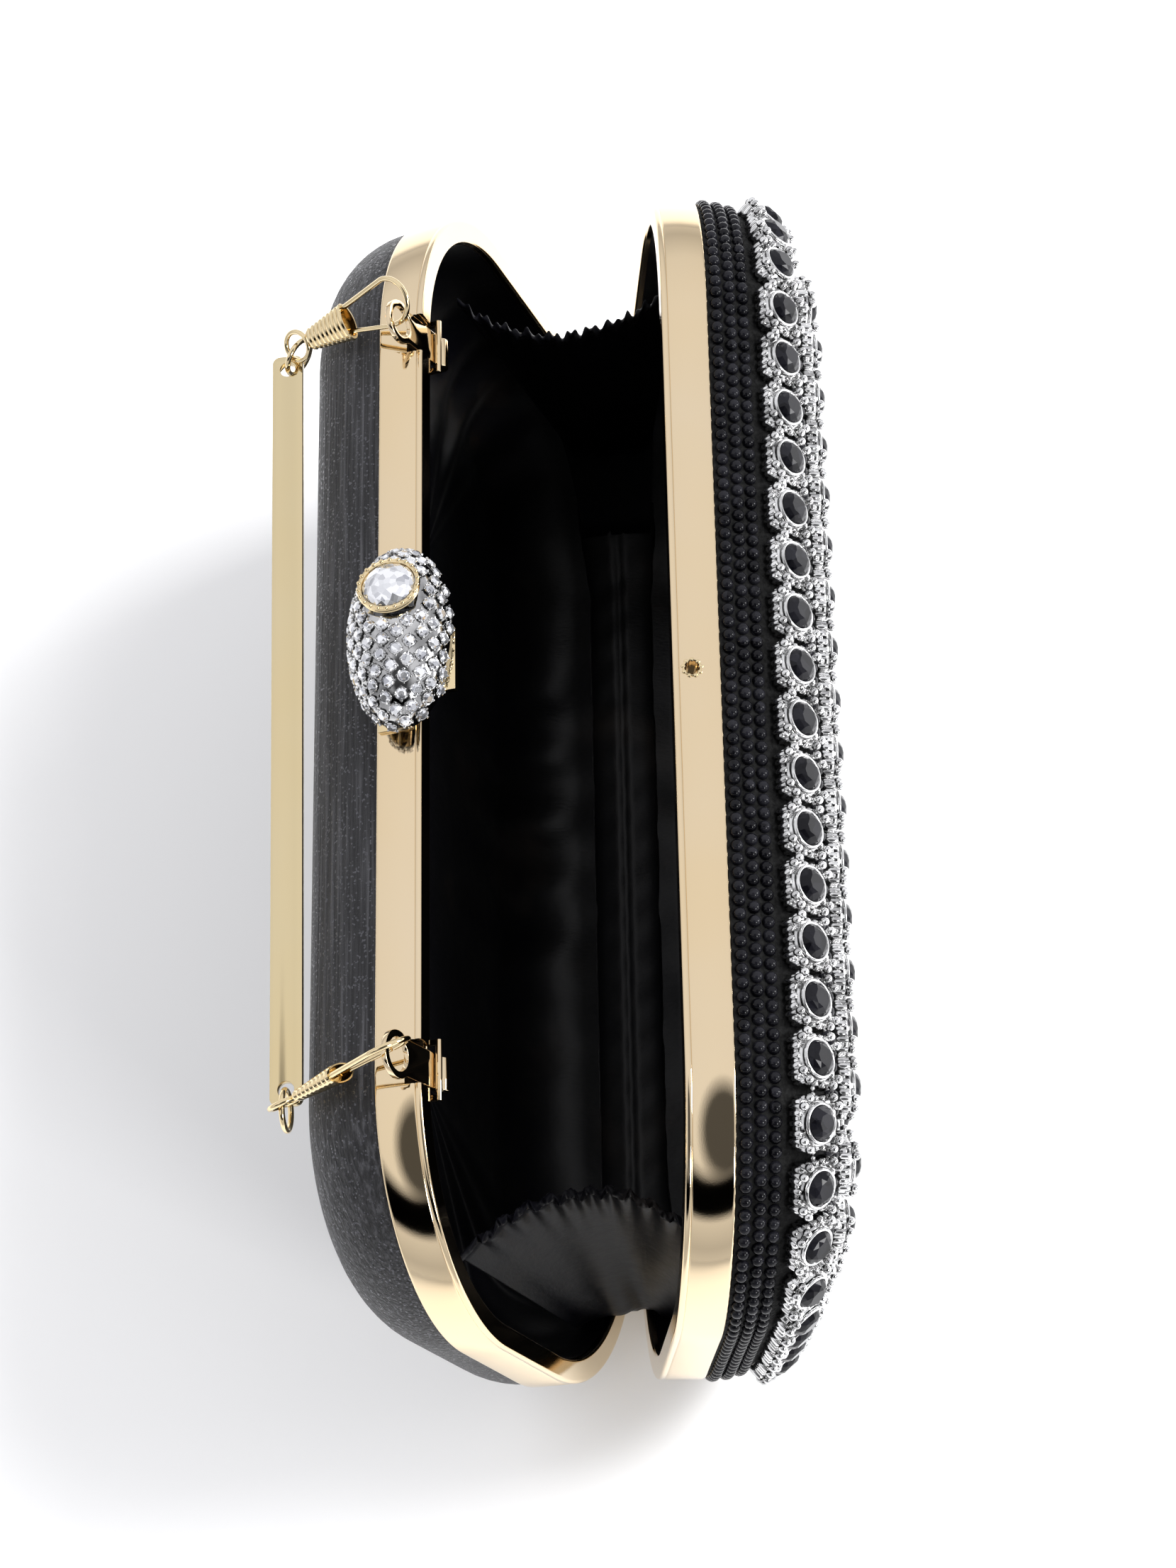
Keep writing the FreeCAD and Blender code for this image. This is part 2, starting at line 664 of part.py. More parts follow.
def dome_crystals():
    """Small crystals in rings round the dome, leaving room for the main stone."""
    main, _ = main_stone_seat()
    crystals = []
    for elevation, count in DOME_ROWS:
        rise = math.radians(elevation)
        for index in range(count):
            turn = 2 * math.pi * (index + 0.5) / count
            level = math.cos(rise)
            direction = Vector(level * math.cos(turn), level * math.sin(turn), math.sin(rise))
            point, normal = dome_point(direction)
            if (point - main).Length > BEZEL_RADIUS + SMALL_CRYSTAL_RADIUS + 0.2:
                top = SMALL_CRYSTAL_RADIUS * 0.55
                crystals.append(
                    Part.makeCone(SMALL_CRYSTAL_RADIUS, top, SMALL_CRYSTAL_HEIGHT, point, normal)
                )
    return Part.makeCompound(crystals)


def catch_eyelet():
    base = Vector(CATCH_X, CATCH_N, HEIGHT - EYELET_DEPTH)
    return Part.makeCylinder(EYELET_OUTER, EYELET_DEPTH, base).cut(
        Part.makeCylinder(EYELET_HOLE, EYELET_DEPTH, base)
    )


# ---- stones on the front ----

def over_surface(distance):
    """Inset, depth and slope of the covering at a distance from the frame, over its surface."""
    straight = COVER_DEPTH - COVER_ROUND - RIM_DEPTH
    if distance < straight:
        return COVER_STEP, RIM_DEPTH + distance, 0.0
    slope = (distance - straight) / COVER_ROUND
    if slope < math.pi / 2:
        inset = COVER_STEP + COVER_ROUND * (1 - math.cos(slope))
        return inset, COVER_DEPTH - COVER_ROUND * (1 - math.sin(slope)), slope
    flat = distance - straight - COVER_ROUND * math.pi / 2
    return COVER_STEP + COVER_ROUND + flat, COVER_DEPTH, math.pi / 2


def row_stations(inset):
    """Close-set stations round the outline, both ways in turn from the middle of the top."""
    wire = outline(inset, 0)
    half_count = round(wire.Length / SETTING_STEP / 2)
    points = wire.discretize(Number=2 * half_count + 1)[:-1]
    first = max(range(len(points)), key=lambda index: points[index].z - abs(points[index].x))
    middle = Vector(0, 0, HEIGHT / 2)
    stations = []
    for away in range(half_count):
        for index in (first + away, first - away - 1):
            edge_point = points[index % len(points)]
            nearest = min(wire.Edges, key=lambda edge: edge.distToShape(Part.Vertex(edge_point))[0])
            tangent = nearest.tangentAt(nearest.Curve.parameter(edge_point))
            outward = Vector(tangent.z, 0, -tangent.x)
            if outward.dot(edge_point - middle) < 0:
                outward = -outward
            stations.append((edge_point, outward))
    return stations


@lru_cache
def row_frames():
    """The seat of every large stone: a matrix whose local z points out of the surface."""
    frames = []
    for row in range(RING_ROWS):
        inset, depth, slope = over_surface(FIRST_ROW + row * ROW_PITCH)
        for point, outward in row_stations(inset):
            normal = outward * math.cos(slope) + Vector(0, math.sin(slope), 0)
            frames.append((Vector(point.x, depth, point.z), normal, outward))
    for side in (-1, 1):
        for index in range(CENTRE_ROW_COUNT):
            u = (index - (CENTRE_ROW_COUNT - 1) / 2) * SETTING_PITCH
            point = Vector(u, COVER_DEPTH, HEIGHT / 2 + side * CENTRE_ROW_OFFSET)
            frames.append((point, Vector(0, 1, 0), Vector(0, 0, side)))
    lowest = -RIM_DEPTH * SIN_LEAN + FLOOR_MARGIN
    matrices = []
    for point, normal, outward in frames:
        reach = point + normal * STONE_TOP + outward * SETTING_SIZE / 2
        if reach.z * COS_LEAN - reach.y * SIN_LEAN > lowest:
            along = outward.cross(normal)
            along.normalize()
            across = normal.cross(along)
            matrices.append(Matrix(
                along.x, across.x, normal.x, point.x,
                along.y, across.y, normal.y, point.y,
                along.z, across.z, normal.z, point.z,
                0, 0, 0, 1,
            ))
    return without_crowding(matrices)


def without_crowding(matrices):
    """Keep each place in turn that is a pitch away from the settings kept so far and clear of them."""
    kept, blocks = [], []
    for matrix in matrices:
        place = matrix.multVec(Vector(0, 0, 0))
        if any((spot - place).Length < SETTING_PITCH - PITCH_SLACK for spot, _ in blocks):
            continue
        block = setting_room(0.0, matrix)
        close = [other for spot, other in blocks if (spot - place).Length < 1.5 * SETTING_PITCH]
        if all(block.distToShape(other)[0] > SETTING_GAP for other in close):
            kept.append(matrix)
            blocks.append((place, block))
    return kept


def setting_room(extra, matrix):
    """The block that a setting fills, grown sideways by extra."""
    half = SETTING_SIZE / 2 + extra
    room = box(-half, half, -half, half, -1.0 * (extra > 0), SETTING_HEIGHT)
    room.Placement = FreeCAD.Placement(matrix)
    return room


def repeated(shape, matrices):
    copies = []
    for matrix in matrices:
        copy = shape.copy()
        copy.Placement = FreeCAD.Placement(matrix)
        copies.append(copy)
    return Part.makeCompound(copies)


def setting():
    half = SETTING_SIZE / 2
    cup = box(-half, half, -half, half, 0, SETTING_HEIGHT)
    seat = Part.makeCylinder(STONE_RADIUS, SETTING_HEIGHT, Vector(0, 0, STONE_SEAT))
    return cup.cut(seat)


def stone():
    girdle = SETTING_HEIGHT - STONE_SEAT
    body = Part.makeCylinder(STONE_RADIUS, girdle, Vector(0, 0, STONE_SEAT))
    crown = Part.makeCone(STONE_RADIUS, STONE_TABLE, STONE_TOP - SETTING_HEIGHT, Vector(0, 0, SETTING_HEIGHT))
    return body.fuse(crown).removeSplitter()


def small_stone_bands():
    """Bands of small stones between the large rows, each drawn as one raised strip."""
    raised = pan(COVER_STEP - BAND_HEIGHT, RIM_DEPTH, COVER_DEPTH + BAND_HEIGHT, COVER_ROUND + BAND_HEIGHT)
    layer = raised.cut(pan(COVER_STEP, RIM_DEPTH, COVER_DEPTH, COVER_ROUND))
    half = SETTING_SIZE / 2 + BAND_MARGIN
    bands = []
    _, near, _ = over_surface(BAND_MARGIN)
    _, far, _ = over_surface(FIRST_ROW - half)
    bands.append(layer.common(box(-WIDTH, WIDTH, near, far, -HEIGHT, 2 * HEIGHT)))
    for row in range(RING_ROWS):
        start, _, _ = over_surface(FIRST_ROW + row * ROW_PITCH + half)
        end, _, _ = over_surface(FIRST_ROW + (row + 1) * ROW_PITCH - half)
        ring = prism(start, RIM_DEPTH, COVER_DEPTH + BAND_HEIGHT).cut(
            prism(end, RIM_DEPTH, COVER_DEPTH + BAND_HEIGHT)
        )
        bands.append(layer.common(ring))
    length = CENTRE_ROW_COUNT * SETTING_PITCH / 2
    gap = CENTRE_ROW_OFFSET - half
    middle = HEIGHT / 2
    bands.append(box(-length, length, COVER_DEPTH, COVER_DEPTH + BAND_HEIGHT, middle - gap, middle + gap))
    settings = [setting_room(SETTING_GAP, matrix) for matrix in row_frames()]
    placed = lean_front(Part.makeCompound(bands).cut(settings))
    lowest = -RIM_DEPTH * SIN_LEAN + FLOOR_MARGIN
    return placed.cut(box(-WIDTH, WIDTH, -WIDTH, WIDTH, -HEIGHT, lowest))


# ---- gussets ----

def gusset(side):
    """Soft folding end panel between the halves, drawn flat."""
    (low_y, low_z), (top_y, top_z) = GUSSET_BASE, GUSSET_TOP
    x = side * GUSSET_X
    corners = [(-low_y, low_z), (low_y, low_z), (top_y, top_z), (-top_y, top_z), (-low_y, low_z)]
    face = Part.Face(Part.makePolygon([Vector(x, y, z) for y, z in corners]))
    return face.extrude(Vector(-side * GUSSET_THICKNESS, 0, 0))


def elastic(side):
    """Gathered elastic along the top of the gusset."""
    top_y, top_z = GUSSET_TOP
    near, far = sorted((side * GUSSET_X, side * (GUSSET_X - GUSSET_THICKNESS)))
    return box(near, far, -top_y, top_y, top_z, top_z + ELASTIC_HEIGHT)


def base_strip():
    """Soft fold along the bottom that joins the two linings over the hinges."""
    half_length, half_width, height, thickness = BASE_STRIP
    return box(-half_length, half_length, -half_width, half_width, height, height + thickness)


# ---- assembly ----

def all_parts():
    parts = {
        "back_rim": lean_back(back_rim()),
        "back_shell": lean_back(half_shell()),
        "back_cover": lean_back(half_cover()),
        "back_lining": lean_back(back_lining()),
        "front_rim": lean_front(front_rim()),
        "front_shell": lean_front(half_shell()),
        "front_cover": lean_front(half_cover()),
        "front_lining": lean_front(half_lining()),
        "hinge_leaves_back": lean_back(hinge_leaves("back")),
        "hinge_leaves_front": lean_front(hinge_leaves("front")),
        "hinge_rivets_back": lean_back(hinge_rivets("back")),
        "hinge_rivets_front": lean_front(hinge_rivets("front")),
        "hinge_pins": hinge_pins(),
        "tab_keepers": lean_back(Part.makeCompound([tab_keeper(x) for x in (-TAB_X, TAB_X)])),
        "keeper_rivets": lean_back(Part.makeCompound([keeper_rivet(x) for x in (-TAB_X, TAB_X)])),
        "near_tab": lean_back(tab(-TAB_X)),
        "far_tab": lean_back(tab(TAB_X)),
        "jump_rings": jump_rings(),
        "handle_bar": handle_bar(),
        "latch_bracket": lean_back(latch_bracket()),
        "latch_rivets": lean_back(Part.makeCompound([latch_rivet(x) for x in latch_rivet_stations()])),
        "latch_pin": lean_back(latch_pin()),
        "latch_spring": lean_back(latch_spring()),
        "latch_lever": lean_back(latch_lever()),
        "latch_dome": lean_back(latch_dome()),
        "latch_main_bezel": lean_back(main_bezel()),
        "latch_main_crystal": lean_back(main_crystal()),
        "latch_small_crystals": lean_back(dome_crystals()),
        "catch_eyelet": lean_front(catch_eyelet()),
        "small_stone_bands": small_stone_bands(),
        "large_settings": lean_front(repeated(setting(), row_frames())),
        "large_stones": lean_front(repeated(stone(), row_frames())),
        "near_gusset": gusset(-1),
        "far_gusset": gusset(1),
        "base_gusset": base_strip(),
        "near_elastic": elastic(-1),
        "far_elastic": elastic(1),
    }
    for hook in HOOKS:
        matrix = hook_matrix(hook)
        parts[hook.name + "_hook_wire"] = placed_on_hook(hook_wire(), matrix)
        parts[hook.name + "_hook_sleeve"] = placed_on_hook(hook_sleeve(), matrix)
        parts[hook.name + "_hook_gate"] = placed_on_hook(hook_gate(), matrix)
    return parts


def describe(label, vector):
    print(label, round(vector.x / 1000, 7), round(vector.y / 1000, 7), round(vector.z / 1000, 7))


def main():
    os.makedirs("parts", exist_ok=True)
    parts = all_parts()
    bounds = Part.makeCompound(list(parts.values())).optimalBoundingBox(False, False)
    # the origin is the middle of the underside of the box round the whole bag
    origin = Vector((bounds.XMin + bounds.XMax) / 2, (bounds.YMin + bounds.YMax) / 2, bounds.ZMin)
    for name, shape in parts.items():
        shape.translate(-origin)
        shape.exportStep(f"parts/{name}.step")
    tab_axis = back_point(0, *TAB_PIVOT)
    latch_axis = back_point(0, *latch_pivot())
    hang = (ring_hang(HOOKS[0]) + ring_hang(HOOKS[1])) * 0.5
    describe("hinge_axis", -origin)
    describe("tab_axis", tab_axis - origin)
    describe("latch_axis", latch_axis - origin)
    describe("hook_axis", hook_pivot(0) - origin)
    describe("handle_axis", Vector(0, hang.y, hang.z) - origin)
    for hook in HOOKS:
        matrix = hook_matrix(hook)
        describe(hook.name + "_gate_pivot", matrix.multVec(gate_pivot()) - origin)
        normal = matrix.multVec(Vector(0, 0, 1)) - matrix.multVec(Vector(0, 0, 0))
        describe(hook.name + "_gate_normal", normal * 1000)


main()
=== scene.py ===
import json
import math
import random

import bmesh
import bpy
import numpy as np

from mathutils import Matrix, Vector


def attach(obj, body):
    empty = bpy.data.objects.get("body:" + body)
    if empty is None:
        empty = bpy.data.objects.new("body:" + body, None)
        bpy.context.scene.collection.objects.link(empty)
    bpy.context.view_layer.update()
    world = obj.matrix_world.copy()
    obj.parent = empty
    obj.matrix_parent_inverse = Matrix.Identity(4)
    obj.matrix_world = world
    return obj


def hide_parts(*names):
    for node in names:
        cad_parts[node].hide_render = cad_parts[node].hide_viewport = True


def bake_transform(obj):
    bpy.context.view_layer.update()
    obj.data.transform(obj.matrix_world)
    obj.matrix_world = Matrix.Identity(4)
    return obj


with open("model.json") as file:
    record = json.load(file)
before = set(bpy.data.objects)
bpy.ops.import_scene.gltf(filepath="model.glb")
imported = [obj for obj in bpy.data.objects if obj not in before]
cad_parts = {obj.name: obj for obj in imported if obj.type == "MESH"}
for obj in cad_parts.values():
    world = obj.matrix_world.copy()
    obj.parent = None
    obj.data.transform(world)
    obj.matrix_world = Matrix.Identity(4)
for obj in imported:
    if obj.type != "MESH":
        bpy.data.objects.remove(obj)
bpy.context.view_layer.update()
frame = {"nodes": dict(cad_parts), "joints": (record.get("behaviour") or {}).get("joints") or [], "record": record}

# Looks of a hard-case evening bag standing open.  Sizes below are millimetres, in each half's
# own terms: u along the bag, n away from the parting plane, h above the hinge line.

MM = 0.001
BACK, FRONT = 1, -1
NEAR, FAR = -1, 1

WIDTH = 190.0
HEIGHT = 96.7
TOP_CORNER = 34.0
BASE_CORNER = 40.0
LEAN = math.radians(11.3)
RIM_DEPTH = 7.4
RIM_WALL = 3.8
COVER_STEP = 0.6
COVER_DEPTH = 23.2
COVER_ROUND = 15.2
LINING_FAR = 20.0
LINING_ROUND = 12.0
LINING_NEAR = 1.3
LINING_SKIN = 0.6
LINING_PUCKER = 1.5        # how far the lining's gathers stand inwards
LINING_START = 0.15        # clear of the frame's inner face
CURVE_STEPS = 14
SPINE_RINGS = 9
OUTLINE_STEP = 1.6         # spacing of mesh points round a half

TAB_X = 60.0
NOTCH_HALF_WIDTH = 3.3
NOTCH_DEPTH = 2.6
NOTCH_FLOOR = HEIGHT - RIM_WALL - 0.8
RIM_ROUND = 0.45
MOUTH_GAP = 0.06           # room left at the parting plane when the halves close
RIM_GROOVE = (1.1, 0.16)   # groove on the frame's outer face: depth from the mouth, and how deep
GROOVE_HALF_WIDTH = 0.2
CUT_PAST = 1.0             # how far a cutter reaches past what it cuts

ROW_EDGE = 4.05            # half the width that a row of large stones takes
FIRST_ROW = 11.3
ROW_PITCH = 13.3
RING_ROWS = 3
LAST_RING_REACH = 16.0     # rings of large stones end this far in from the rounded edge
BEAD_PITCH = 2.12
BEAD_RADIUS = 1.0
BEAD_HEIGHT = 1.0
FIRST_BEAD_ROWS = (1.35, 3.5, 5.65)
BETWEEN_BEAD_ROWS = (1.35, 3.55)
FLOOR_MARGIN = 0.45
BEAD_TIP = 0.10            # most that a small stone is tipped, in radians
CENTRE_END = 49.2
CENTRE_BEAD_OFFSET = 1.07  # the two rows of small stones along the middle, from the middle line
END_COLUMNS = 3            # columns of small stones that close each end of those rows
END_COLUMN_START = 0.6     # in pitches past the end
END_COLUMN_REACH = 4       # stones above and below the middle one

SETTING_HALF = 3.95
CUP_INSET = 0.5            # the cup's plain body inside the ribs
CUP_HEIGHT = 1.5
RIB_PITCH = 1.45
RIB_HALF = 0.5
RIB_DEPTH = 0.9
RIB_HEIGHT = 2.1
PRONG_SPREAD = 0.58        # half the distance between the two balls of a prong, along x and y
PRONG_RADIUS = 0.66
PRONG_HEIGHT = 2.75
LEG_RADIUS = 0.5
LEG_HEIGHT = 1.2
LINK_RADIUS = 0.45
STONE_RADIUS = 2.55
# rings round the stone: how far beyond it, wire, height and sides
SEAT_RINGS = ((0.26, 0.30, 2.7, 8), (0.50, 0.35, 2.0, 6))

CATCH_HOLE = 1.2
CATCH_HOLE_DEPTH = 3.2
BURR_WIRE = 0.16
BURR_PETALS = 9
PETAL_RADIUS = 0.36

DOME_CENTRE = (5.0, 1.7)
DOME_RISE = 3.0
DOME_SEMI = (14.5, 7.9, 8.4)
CRYSTAL_TRIES = 3000
CRYSTAL_LOWEST = 0.08      # how near the dome's foot the crystals reach, as a share of its height
CRYSTAL_PITCH = 2.25
MAIN_CRYSTAL_CLEAR = 5.9
MAIN_BEZEL_RINGS = ((4.45, 0.42, 0.9), (4.35, 0.32, 0.2))    # radius, wire and height
MAIN_BEZEL_BEADS = 22

GUSSET_BASE_Z = 7.5
GUSSET_TOP_Z = 67.3
GUSSET_BASE_HALF = 6.2
GUSSET_TOP_HALF = 18.4
GUSSET_RUFFLES = 11        # ruffles across the gathered top, in each half of it
GUSSET_SAG = 9.0           # how far the soft panel hangs in from the ends
GUSSET_REACH = 82.0        # the panel's edges, from the middle of the bag
GUSSET_CLEAR = 1.0         # from the inside of the frame's corner
GUSSET_GRID = (40, 220)
GUSSET_THICKNESS = 0.5
DRAPE_DEPTH = 0.7
RUFFLE_DEPTH = 0.42

ELASTIC_COLUMNS = 320
ELASTIC_SIDES = 10
ELASTIC_HALF_WIDTH = 0.62
ELASTIC_HALF_HEIGHT = 0.9
ELASTIC_LIFT = 0.4

BASE_FOLD_HALF = 5.6
BASE_FOLD_HEIGHT = 4.5
BASE_FOLD_RUN = 17.0       # how far the fold climbs into each corner
BASE_FOLD_GRID = (240, 24)
BASE_FOLD_THICKNESS = 0.4

# where the photographer's camera stands, from the hinge line, and how it is turned
CAMERA_PLACE = Vector((-201.14, -66.23, 532.34))
CAMERA_FORWARD = Vector((0.3810, 0.1261, -0.9159))
CAMERA_RIGHT = Vector((-0.0183, -0.9894, -0.1438))
CAMERA_LENS = 74.49
CAMERA_SENSOR = 36.0
CAMERA_CLIP = (0.01, 100)

# the room that the metal and the stones mirror: greys by how far a direction turns to an axis
DARK_ABOVE = (-0.381, -0.126, 0.916)    # middle of the dark patch overhead
WALL_GREYS = [(0.0, 0.75), (0.12, 0.62), (0.45, 0.90), (1.0, 1.0)]
PATCH_GREYS = [(0.88, 1.0), (0.95, 0.10)]
BAND_GREYS = [(0.36, 1.0), (0.44, 0.0), (0.66, 0.0), (0.76, 1.0)]
NEAR_GREYS = [(0.35, 1.0), (0.55, 0.0)]
ROOM_STRENGTH = 0.95
FLOOR_HALF = 6.0

# name, place and aim in metres, size, power, and whether polished surfaces mirror it
LIGHTS = (
    ("key", (0.25, -0.85, 0.85), (0, 0, 0.04), 0.5, 20, False),
    ("fill", (0.5, 0.6, 0.8), (0, 0, 0.05), 0.9, 5, False),
    ("sparkle_near", (-0.75, -0.75, 0.7), (0, 0, 0.05), 0.28, 4, True),
    ("sparkle_side", (0.0, -1.1, 0.35), (0, 0, 0.05), 0.3, 4, True),
)

JOINTS = {joint["name"]: joint for joint in frame["joints"]}
HINGE = Vector(JOINTS["front_opening"]["pos_m"])
NODE_BODY = {
    node: body
    for body, nodes in frame["record"]["behaviour"]["bodies"].items()
    for node in nodes
}


def place(side, u, n, h):
    """A point of one half in the row frame, in metres."""
    y = n * math.cos(LEAN) + h * math.sin(LEAN)
    z = h * math.cos(LEAN) - n * math.sin(LEAN)
    return HINGE + Vector((u, side * y, z)) * MM


def turn_direction(side, u, n, h):
    return place(side, u, n, h) - place(side, 0, 0, 0)


def to_half(side, point):
    """The half's own (u, n, h) in mm of a point in the row frame."""
    u, y, z = (point - HINGE) / MM
    y *= side
    return u, y * math.cos(LEAN) - z * math.sin(LEAN), y * math.sin(LEAN) + z * math.cos(LEAN)


# ---- outline of a half ----

def corner_list():
    """Corner centres in order round the outline, with radius and the angle each arc starts at."""
    top_u, top_h = WIDTH / 2 - TOP_CORNER, HEIGHT - TOP_CORNER
    base_u, base_h = WIDTH / 2 - BASE_CORNER, BASE_CORNER
    return [
        (base_u, base_h, BASE_CORNER, -90),
        (top_u, top_h, TOP_CORNER, 0),
        (-top_u, top_h, TOP_CORNER, 90),
        (-base_u, base_h, BASE_CORNER, 180),
    ]


def outline_pieces(inset):
    """Arcs and straight runs round the outline: (length, function from share to point and outward)."""
    corners = []
    for centre_u, centre_h, radius, start in corner_list():
        reduced = max(radius - inset, 0.5)
        shift = reduced - (radius - inset)
        corner_u = centre_u - math.copysign(shift, centre_u)
        corner_h = centre_h + (shift if start in (-90, 180) else -shift)
        corners.append((corner_u, corner_h, reduced, math.radians(start)))
    pieces = []
    for index, (u, h, radius, start) in enumerate(corners):
        def arc(share, u=u, h=h, radius=radius, start=start):
            angle = start + share * math.pi / 2
            out = (math.cos(angle), math.sin(angle))
            return (u + radius * out[0], h + radius * out[1]), out
        pieces.append((radius * math.pi / 2, arc))
        next_u, next_h, next_radius, next_start = corners[(index + 1) % 4]
        end = start + math.pi / 2
        out = (math.cos(end), math.sin(end))
        first = (u + radius * out[0], h + radius * out[1])
        last = (next_u + next_radius * math.cos(next_start), next_h + next_radius * math.sin(next_start))

        def straight(share, first=first, last=last, out=out):
            point = (first[0] + (last[0] - first[0]) * share, first[1] + (last[1] - first[1]) * share)
            return point, out
        pieces.append((math.dist(first, last), straight))
    return pieces


def walk_outline(inset, pitch):
    """Evenly spaced (point, outward) round the outline, closest to the given pitch."""
    pieces = outline_pieces(inset)
    total = sum(length for length, _ in pieces)
    count = round(total / pitch)
    stations = []
    for index in range(count):
        distance = (index + 0.5) * total / count
        for length, at in pieces:
            if distance <= length:
                stations.append(at(distance / length))
                break
            distance -= length
    return stations


def outline_stations():
    """Fixed stations for meshes: where each starts on the outline, and its outward direction."""
    stations = []
    for length, at in outline_pieces(0):
        steps = max(2, round(length / OUTLINE_STEP))
        stations += [at(step / steps) for step in range(steps)]
    return stations


def inset_point(station, inset):
    (u, h), (out_u, out_h) = station
    return u - out_u * inset, h - out_h * inset


def over_surface(distance):
    """Inset, depth and slope of the covering at a distance from the frame, over its surface."""
    straight = COVER_DEPTH - COVER_ROUND - RIM_DEPTH
    if distance < straight:
        return COVER_STEP, RIM_DEPTH + distance, 0.0
    slope = (distance - straight) / COVER_ROUND
    if slope < math.pi / 2:
        inset = COVER_STEP + COVER_ROUND * (1 - math.cos(slope))
        return inset, COVER_DEPTH - COVER_ROUND * (1 - math.sin(slope)), slope
    flat = distance - straight - COVER_ROUND * math.pi / 2
    return COVER_STEP + COVER_ROUND + flat, COVER_DEPTH, math.pi / 2


def signed_outline(u, h):
    """How far inside the outline a point is, and the outward direction there."""
    radius, centre_h = (TOP_CORNER, HEIGHT - TOP_CORNER) if h > HEIGHT / 2 else (BASE_CORNER, BASE_CORNER)
    up = 1 if h > HEIGHT / 2 else -1
    over_u = abs(u) - (WIDTH / 2 - radius)
    over_h = (h - centre_h) * up
    side = math.copysign(1, u)
    if over_u > 0 and over_h > 0:
        reach = math.hypot(over_u, over_h)
        return radius - reach, (side * over_u / reach, up * over_h / reach)
    if over_u - radius > over_h - radius:
        return radius - over_u, (side, 0.0)
    return radius - over_h, (0.0, float(up))


# ---- mesh helpers ----

def new_piece(name, vertices, faces, material, smooth=True, sharp=35):
    mesh = bpy.data.meshes.new(name)
    mesh.from_pydata(vertices, [], faces)
    mesh.validate()
    mesh.update()
    mesh.materials.append(material)
    if smooth:
        mesh.polygons.foreach_set("use_smooth", [True] * len(mesh.polygons))
        mesh.set_sharp_from_angle(angle=math.radians(sharp))
    piece = bpy.data.objects.new(name, mesh)
    bpy.context.scene.collection.objects.link(piece)
    return piece


def outward_faces(piece):
    bm = bmesh.new()
    bm.from_mesh(piece.data)
    bmesh.ops.recalc_face_normals(bm, faces=bm.faces)
    bm.to_mesh(piece.data)
    bm.free()
    return piece


def loop_faces(first, second, count):
    """Quads between two rings of count points that start at the given indices."""
    return [
        (first + i, first + (i + 1) % count, second + (i + 1) % count, second + i)
        for i in range(count)
    ]


def finish_piece(piece, node):
    """Ride on the body of the CAD node that the piece stands for, and hide that node."""
    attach(piece, NODE_BODY[node])
    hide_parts(node)


class Template:
    """A small shape in mm that is repeated many times over a surface."""

    def __init__(self):
        self.mesh = bmesh.new()

    def ball(self, radius, at, segments=8, rings=6, squash=1.0):
        matrix = Matrix.Translation(at) @ Matrix.Diagonal((1, 1, squash, 1))
        bmesh.ops.create_uvsphere(
            self.mesh, u_segments=segments, v_segments=rings, radius=radius, matrix=matrix
        )

    def ball_circle(self, count, reach, height, radius, segments, rings, squash=1.0):
        """Small balls evenly spaced round a circle."""
        for index in range(count):
            turn = 2 * math.pi * index / count
            at = (reach * math.cos(turn), reach * math.sin(turn), height)
            self.ball(radius, at, segments, rings, squash)

    def block(self, low, high, bevel=0.0):
        low, high = Vector(low), Vector(high)
        matrix = Matrix.Translation((low + high) / 2) @ Matrix.Diagonal((*(high - low), 1))
        made = bmesh.ops.create_cube(self.mesh, size=1.0, matrix=matrix)
        if bevel:
            edges = {edge for vertex in made["verts"] for edge in vertex.link_edges}
            bmesh.ops.bevel(
                self.mesh, geom=list(edges), offset=bevel, segments=1, affect="EDGES", profile=0.5
            )

    def ring(self, radius, wire, height, segments=20, sides=6):
        rings = []
        for i in range(segments):
            turn = 2 * math.pi * i / segments
            loop = []
            for j in range(sides):
                angle = 2 * math.pi * j / sides
                reach = radius + wire * math.cos(angle)
                at = (reach * math.cos(turn), reach * math.sin(turn), height + wire * math.sin(angle))
                loop.append(self.mesh.verts.new(at))
            rings.append(loop)
        for i in range(segments):
            near, far = rings[i], rings[(i + 1) % segments]
            for j in range(sides):
                k = (j + 1) % sides
                self.mesh.faces.new((near[j], far[j], far[k], near[k]))

    def facets(self, levels):
        """A cut stone: levels are (count, radius, height, turn), joined by flat facets."""
        points = []
        for count, radius, height, turn in levels:
            for i in range(count):
                angle = 2 * math.pi * (i + turn) / count
                points.append((radius * math.cos(angle), radius * math.sin(angle), height))
        vertices = [self.mesh.verts.new(point) for point in points]
        bmesh.ops.convex_hull(self.mesh, input=vertices)

    def arrays(self):
        self.mesh.verts.ensure_lookup_table()
        self.mesh.verts.index_update()
        points = np.array([vertex.co[:] for vertex in self.mesh.verts])
        faces = [tuple(vertex.index for vertex in face.verts) for face in self.mesh.faces]
        return points, faces


def repeat(name, template, matrices, material, smooth=True, sharp=35):
    """One mesh with a copy of the template at each matrix."""
    points, faces = template.arrays()
    stacked = np.c_[points, np.ones(len(points))]
    vertices, all_faces = [], []
    for index, matrix in enumerate(matrices):
        vertices.append((stacked @ np.array(matrix).T)[:, :3])
        start = index * len(points)
        all_faces += [tuple(v + start for v in face) for face in faces]
    return new_piece(name, np.concatenate(vertices).tolist(), all_faces, material, smooth, sharp)


def seat_matrix(origin, normal, along):
    """Takes a template in mm to a seat in the row frame: z along normal, x towards along."""
    z = normal.normalized()
    x = (along - z * along.dot(z)).normalized()
    y = z.cross(x)
    columns = Matrix((x, y, z)).transposed().to_4x4()
    return Matrix.Translation(origin) @ columns @ Matrix.Scale(MM, 4)


